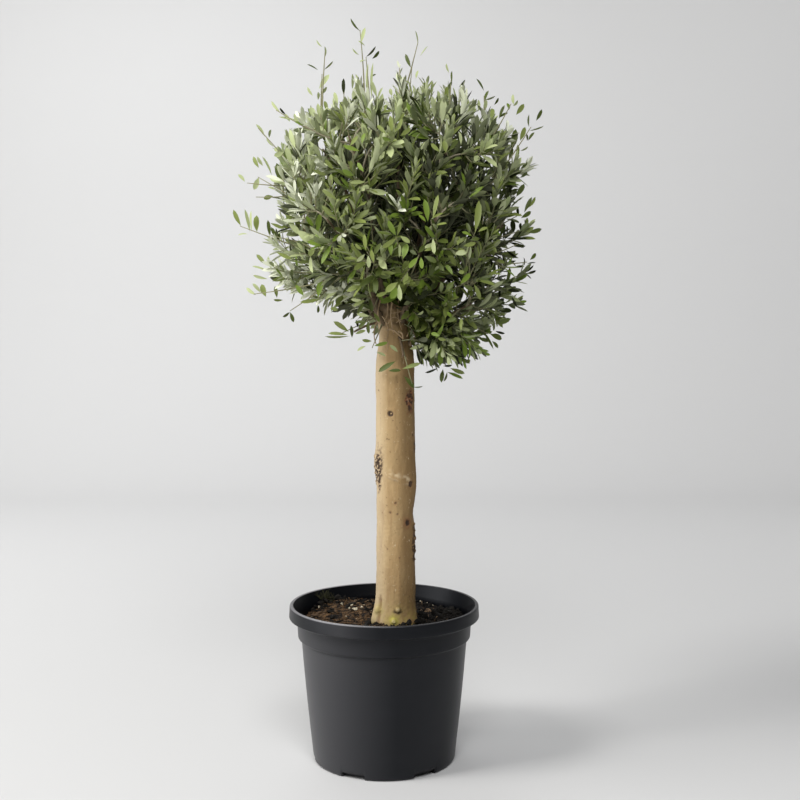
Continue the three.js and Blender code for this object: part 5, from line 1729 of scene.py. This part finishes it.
class OLIVE_OT_trunk(Operator):
    """Make the trunk: a grid round its axis, with the bark's relief, knots, burr, scar, groove and stubs"""

    bl_idname = "olive.trunk"
    bl_label = "Trunk"

    def execute(self, context):
        settings = context.scene.olive_trunk
        columns = settings.columns
        turn = np.linspace(0, 2 * np.pi, columns, endpoint=False)[None, :]
        height = np.linspace(TRUNK_FOOT - 6, TRUNK_TOP - KNUCKLE[0][0], settings.rows)[:, None]
        radius = trunk_radius(turn, height)
        knuckle_height = np.array([TRUNK_TOP - below for below, _ in KNUCKLE[1:]])[:, None]
        knuckle_share = np.array([share for _, share in KNUCKLE[1:]])[:, None]
        height = np.concatenate([height, knuckle_height])
        radius = np.concatenate([radius, trunk_radius(turn, knuckle_height) * knuckle_share])
        turn, height = np.broadcast_arrays(turn, height)
        relief, marks = self.bark(turn, height, radius, settings.relief / MM)
        radius = radius + relief
        centre = trunk_axis(height)
        places = centre + np.stack([radius * np.cos(turn), radius * np.sin(turn), 0 * radius], -1)
        rows = places.shape[0]
        top = rows * columns
        crown = trunk_axis(np.array([TRUNK_TOP + 1.5]))
        ring = np.arange(columns)
        beyond = (ring + 1) % columns
        last = (rows - 1) * columns
        cap = fan(top, last + ring, last + beyond)
        places = np.concatenate([places.reshape(-1, 3), crown])
        marks = np.concatenate([marks.reshape(-1, 4), marks.reshape(-1, 4)[-1:]])
        faces = [grid_faces(rows, columns), cap, ring[::-1][None]]
        bark = trunk_bark(settings)
        trunk = add_piece("trunk_stem", places, faces, [bark], marks={"marks": marks})
        dress(trunk, "trunk_bark", "trunk")
        first, second, third, depth, thick = (np.array(part, float) for part in zip(*STRIPS))
        start, middle, end = (from_picture(*place.T, depth) for place in (first, second, third))
        strips = Curves(start, 2 * middle - (start + end) / 2, end, thick, thick * 0.6)
        add_limbs("dry_strips", strips, grain("dry_strip"), "trunk_bark", (), 12, 7, 0.2, 63)
        return {"FINISHED"}

    def bark(self, turn, height, radius, depth):
        """The bark's relief and its marks, as dark, red, green and pale, over the grid.

        Relief is a sum of closed noises, from hand-wide waves to fine grain, plus a pit with a raised
        rim for each knot, a knob for each stub, rough patches, a double ridge for the scar and a groove.
        """
        across = turn / (2 * np.pi)
        along = (height - TRUNK_FOOT) / (TRUNK_TOP - TRUNK_FOOT)
        marks = dict.fromkeys(("dark", "red", "green", "pale"), np.zeros_like(height, float))

        def noise(cells, seed):
            return closed_noise(across, along, cells, seed)

        def aside(side):
            return turn_between(turn, side) * radius

        def mark(name, amount):
            marks[name] = np.maximum(marks[name], amount)

        relief = depth * sum(share * noise(cells, seed) for share, cells, seed in BARK_WAVES)
        fine, coarse = noise((96, 230), 6), noise((40, 90), 7)
        for twentieths, middle, size, pit, shade, blush in KNOTS:
            gap = np.hypot(aside(front_side(twentieths)), (height - middle) * 0.9) / size
            gap = gap * (1 + 0.3 * coarse) + 0.2 * fine
            relief = relief - pit * bump(gap) + 0.35 * pit * bump((gap - 1.35) / 0.42)
            mark("dark", shade * smooth_step((1.15 - gap) * 2.4))
            mark("red", blush * bump(gap * 0.62))
        for twentieths, middle, size, rise, dull, lush, bright in STUBS:
            gap = np.hypot(aside(front_side(twentieths)), height - middle) / size
            gap = gap * (1 + 0.3 * coarse) + 0.15 * fine
            # Painted shadow: the stub's dark ring is darkest on its lower side, under the stub
            below = smooth_step(0.6 - (height - middle) / size / 1.6 + 0.4 * coarse)
            relief = relief + rise * smooth_step(1.5 - gap) - 0.5 * rise * bump((gap - 0.9) / 0.3)
            middle_share = smooth_step((0.7 - gap) * 4)
            mark("pale", bright * middle_share)
            marks["dark"] = marks["dark"] * (1 - middle_share)
            mark("dark", dull * bump((gap - 1.0) / 0.4) * (0.3 + 0.7 * below))
            mark("green", lush * bump(gap * 0.6))
        for side, wide, middle, tall, rise, shade, blush in PATCHES:
            off = np.abs(turn_between(turn, math.radians(side))) / math.radians(wide)
            patch = 2.2 * (1.0 - np.hypot(off, (height - middle) / tall))
            patch = smooth_step(patch + 0.9 * coarse + 0.35 * fine)
            relief = relief + patch * (0.35 * rise + 0.5 * rise * fine + 0.4 * rise * coarse)
            mark("dark", patch * smooth_step(0.5 + 3 * (shade - 0.6 - 0.8 * fine - 0.5 * coarse)))
            mark("red", blush * patch)
        off = turn_between(turn, math.radians(SCAR_SIDE))
        over_scar = height - (SCAR_HEIGHT - SCAR_FALL * off + 1.2 * coarse)
        window = smooth_step((math.radians(SCAR_HALF) - np.abs(off)) * 5) * np.clip(0.6 + 1.1 * coarse, 0, 1)
        for rise, below, span, bright in SCAR_RIDGES:
            ridge = bump((over_scar + below) / span) * window
            relief = relief + rise * ridge
            mark("pale", bright * ridge)
        mark("dark", 0.28 * bump((over_scar + 9.5) / 1.4) * window)
        mark("pale", 0.3 * smooth_step((fine * noise((22, 40), 9) - 0.4) * 4))
        hollow = bump(turn_between(turn, math.radians(HOLLOW_SIDE)) / math.radians(36))
        relief = relief - 2.0 * hollow * smooth_step((440 - height) / 50) * smooth_step((height - 232) / 24)
        groove = bump(aside(math.radians(GROOVE_SIDE)) / 2.6)
        groove = groove * smooth_step((30 - np.abs(height - GROOVE_HEIGHT)) / 14)
        relief = relief - 2.2 * groove
        # Painted shade in the groove: dark, warmed with red
        mark("dark", 0.25 * groove)
        mark("red", 0.6 * groove)
        mark("green", 0.55 * np.exp(-(height - TRUNK_FOOT) / 16) * np.clip(0.6 + coarse, 0, 1))
        mark("dark", 0.7 * np.exp(-(height - TRUNK_FOOT) / 4.0))
        head = smooth_step((height - PEEL_HEIGHT) / 26)
        peel = noise((30, 120), 8)
        relief = relief + head * (1.0 * peel + 0.8 * coarse)
        mark("dark", head * np.clip(0.5 * peel + 0.35, 0, 0.8))
        wound = bump(aside(math.radians(WOUND_SIDE)) / 9) * bump((height - WOUND_HEIGHT) / 10)
        mark("red", 0.7 * wound)
        mark("pale", 0.55 * wound)
        return relief, np.stack(list(marks.values()), -1)


class OLIVE_OT_boughs(Operator):
    """Make the boughs and the stems that run on from them through the crown"""

    bl_idname = "olive.boughs"
    bl_label = "Boughs"

    def execute(self, context):
        bark = young_bark("bough_bark", *BOUGH_BARK)
        nodes = nodes_named("bough_")
        add_limbs("boughs", crown_plan().limbs, bark, "bough_bark", nodes, 26, 14, 0.12, 61)
        return {"FINISHED"}


class OLIVE_OT_twigs(Operator):
    """Make the twigs and fine shoots that carry the leaves"""

    bl_idname = "olive.twigs"
    bl_label = "Twigs"

    def execute(self, context):
        crown = crown_plan()
        nodes = nodes_named("foliage_")
        grey = young_bark("twig_bark", *TWIG_BARK)
        add_limbs("twigs", crown.twigs, grey, "bough_bark", nodes, 12, 6, 0.08, 62)
        green = young_bark("shoot_bark", *SHOOT_BARK)
        fine = Curves(*(part[len(crown.twigs.start):] for part in crown.shoots))
        add_limbs("fine_shoots", join_curves(fine, crown.sprigs), green, "bough_bark", nodes, 7)
        return {"FINISHED"}


class OLIVE_OT_leaves(Operator):
    """Make the leaves, joined by tint, each with a waxy upper side and a silvery underside"""

    bl_idname = "olive.leaves"
    bl_label = "Leaves"

    def execute(self, context):
        settings = context.scene.olive_crown
        leaves = leaf_plan()
        nodes = nodes_named("foliage_")
        for index, tint in enumerate(TINTS):
            mine = leaves.tint == index
            blades = (part[mine] for part in leaves[:-1])
            places, faces, kinds, rim = leaf_mesh(*blades)
            colour = np.array(getattr(settings, tint))
            below = np.array(settings.underside) * min(1, 0.25 + 2.2 * colour[1]) * 0.7 + colour * 0.4
            upper = leaf_skin(f"leaf_{tint}", colour, 0.45, 0.14 if tint == "dark" else 0.3)
            under = leaf_skin(f"leaf_{tint}_under", below, 0.75, 0.2)
            piece = add_piece(f"leaves_{tint}", places, faces, [upper, under], kinds)
            sharpen(piece, rim)
            dress(piece, "foliage", *nodes)
        return {"FINISHED"}


STAGE_GREY = (0.66, 0.66, 0.66)
# Lights: the setting with its power, its place and target in metres, its size and its colour
STAGE_LIGHTS = (
    ("key", (-2.79, -1.38, 3.5), (0.02, 0, 0.55), 1.25, (1.0, 0.985, 0.96)),
    ("side", (-3.9, -0.8, 1.5), (0, 0, 0.8), 2.4, (1.0, 0.99, 0.97)),
    ("back", (-0.9, 2.1, 2.6), (-0.9, 2.4, 0), 2.0, (0.98, 0.99, 1.0)),
    ("front", (0.2, -2.9, 3.0), (0, 0, 0.1), 2.0, (1.0, 1.0, 1.0)),
    ("wall_left", (-2.6, 1.4, 2.4), (-2.0, 4.0, 1.0), 2.0, (1.0, 1.0, 1.0)),
    ("wall_right", (2.4, 1.2, 2.4), (2.4, 4.0, 1.4), 2.0, (1.0, 1.0, 1.0)),
)


class OLIVE_OT_stage(Operator):
    """Make the stage: a pale floor that sweeps up into a wall behind, the lights and the camera"""

    bl_idname = "olive.stage"
    bl_label = "Stage"

    def execute(self, context):
        settings = context.scene.olive_stage
        front, back, sweep, wall, side = -2600, 2700, 1300, 4200, 4200
        line = np.concatenate([
            straight((front, 0), (back, 0), 16), arc((back, sweep), sweep, -90, 0, 24)[1:],
            straight((back + sweep, sweep), (back + sweep, wall), 4),
        ])
        across = np.linspace(-side, side, 25)
        places = np.empty((len(line), len(across), 3))
        places[..., 0] = across
        places[..., 1:] = line[:, None]
        paint = Paint("stage_grey", 0.9, 0.1)
        paint.colour(STAGE_GREY)
        faces = grid_faces(len(line), len(across), False)
        add_piece("stage_sweep", places.reshape(-1, 3), [faces], [paint.material])
        for name, place, target, size, colour in STAGE_LIGHTS:
            self.add_light(name, place, target, size, getattr(settings, name), colour)
        world = bpy.data.worlds.new("room")
        world.use_nodes = True
        background = world.node_tree.nodes["Background"]
        background.inputs["Color"].default_value = (0.97, 0.985, 1.0, 1)
        background.inputs["Strength"].default_value = settings.sky
        context.scene.world = world
        context.scene.view_settings.view_transform = "Standard"
        data = bpy.data.cameras.new("photo_view")
        data.lens = settings.lens
        data.sensor_width = SENSOR_WIDTH
        data.sensor_fit = "HORIZONTAL"
        camera = bpy.data.objects.new("photo_view", data)
        camera.location = (settings.offset, -settings.distance, settings.height)
        camera.rotation_euler = (math.pi / 2 - settings.pitch, 0, 0)
        context.scene.collection.objects.link(camera)
        context.scene.camera = camera
        return {"FINISHED"}

    def add_light(self, name, place, target, size, power, colour):
        """A square soft light at a place in metres, turned to a target."""
        data = bpy.data.lights.new(name, "AREA")
        data.size = size
        data.energy = power
        data.color = colour
        light = bpy.data.objects.new(name, data)
        light.location = place
        offset = np.array(target) - np.array(place)
        turn = math.atan2(offset[1], offset[0]) - math.pi / 2
        tilt = math.atan2(offset[2], math.hypot(offset[0], offset[1])) + math.pi / 2
        light.rotation_euler = (tilt, 0, turn)
        bpy.context.scene.collection.objects.link(light)


PIECES = (OLIVE_OT_pot, OLIVE_OT_compost, OLIVE_OT_trunk, OLIVE_OT_boughs, OLIVE_OT_twigs, OLIVE_OT_leaves,
          OLIVE_OT_stage)
SETTINGS = (("olive_pot", OLIVE_PG_pot), ("olive_compost", OLIVE_PG_compost), ("olive_trunk", OLIVE_PG_trunk),
            ("olive_crown", OLIVE_PG_crown), ("olive_stage", OLIVE_PG_stage))


class OLIVE_PT_panel(Panel):
    """Lists the pieces and their settings"""

    bl_label = "Potted Olive Tree"
    bl_idname = "OLIVE_PT_panel"
    bl_space_type = "VIEW_3D"
    bl_region_type = "UI"
    bl_category = "Olive"

    def draw(self, context):
        for piece in PIECES:
            self.layout.operator(piece.bl_idname)
        for label, group in SETTINGS:
            box = self.layout.box()
            for key in group.__annotations__:
                box.prop(getattr(context.scene, label), key)


def register():
    """Registers the settings, the operators and the panel."""
    for label, group in SETTINGS:
        bpy.utils.register_class(group)
        setattr(bpy.types.Scene, label, PointerProperty(type=group))
    for item in (*PIECES, OLIVE_PT_panel):
        bpy.utils.register_class(item)


def unregister():
    """Takes away what register added."""
    for item in (OLIVE_PT_panel, *reversed(PIECES)):
        bpy.utils.unregister_class(item)
    for label, group in reversed(SETTINGS):
        delattr(bpy.types.Scene, label)
        bpy.utils.unregister_class(group)


def main():
    """Makes every piece in order."""
    register()
    bpy.ops.olive.pot()
    bpy.ops.olive.compost()
    bpy.ops.olive.trunk()
    bpy.ops.olive.boughs()
    bpy.ops.olive.twigs()
    bpy.ops.olive.leaves()
    bpy.ops.olive.stage()


if __name__ == "__main__":
    main()
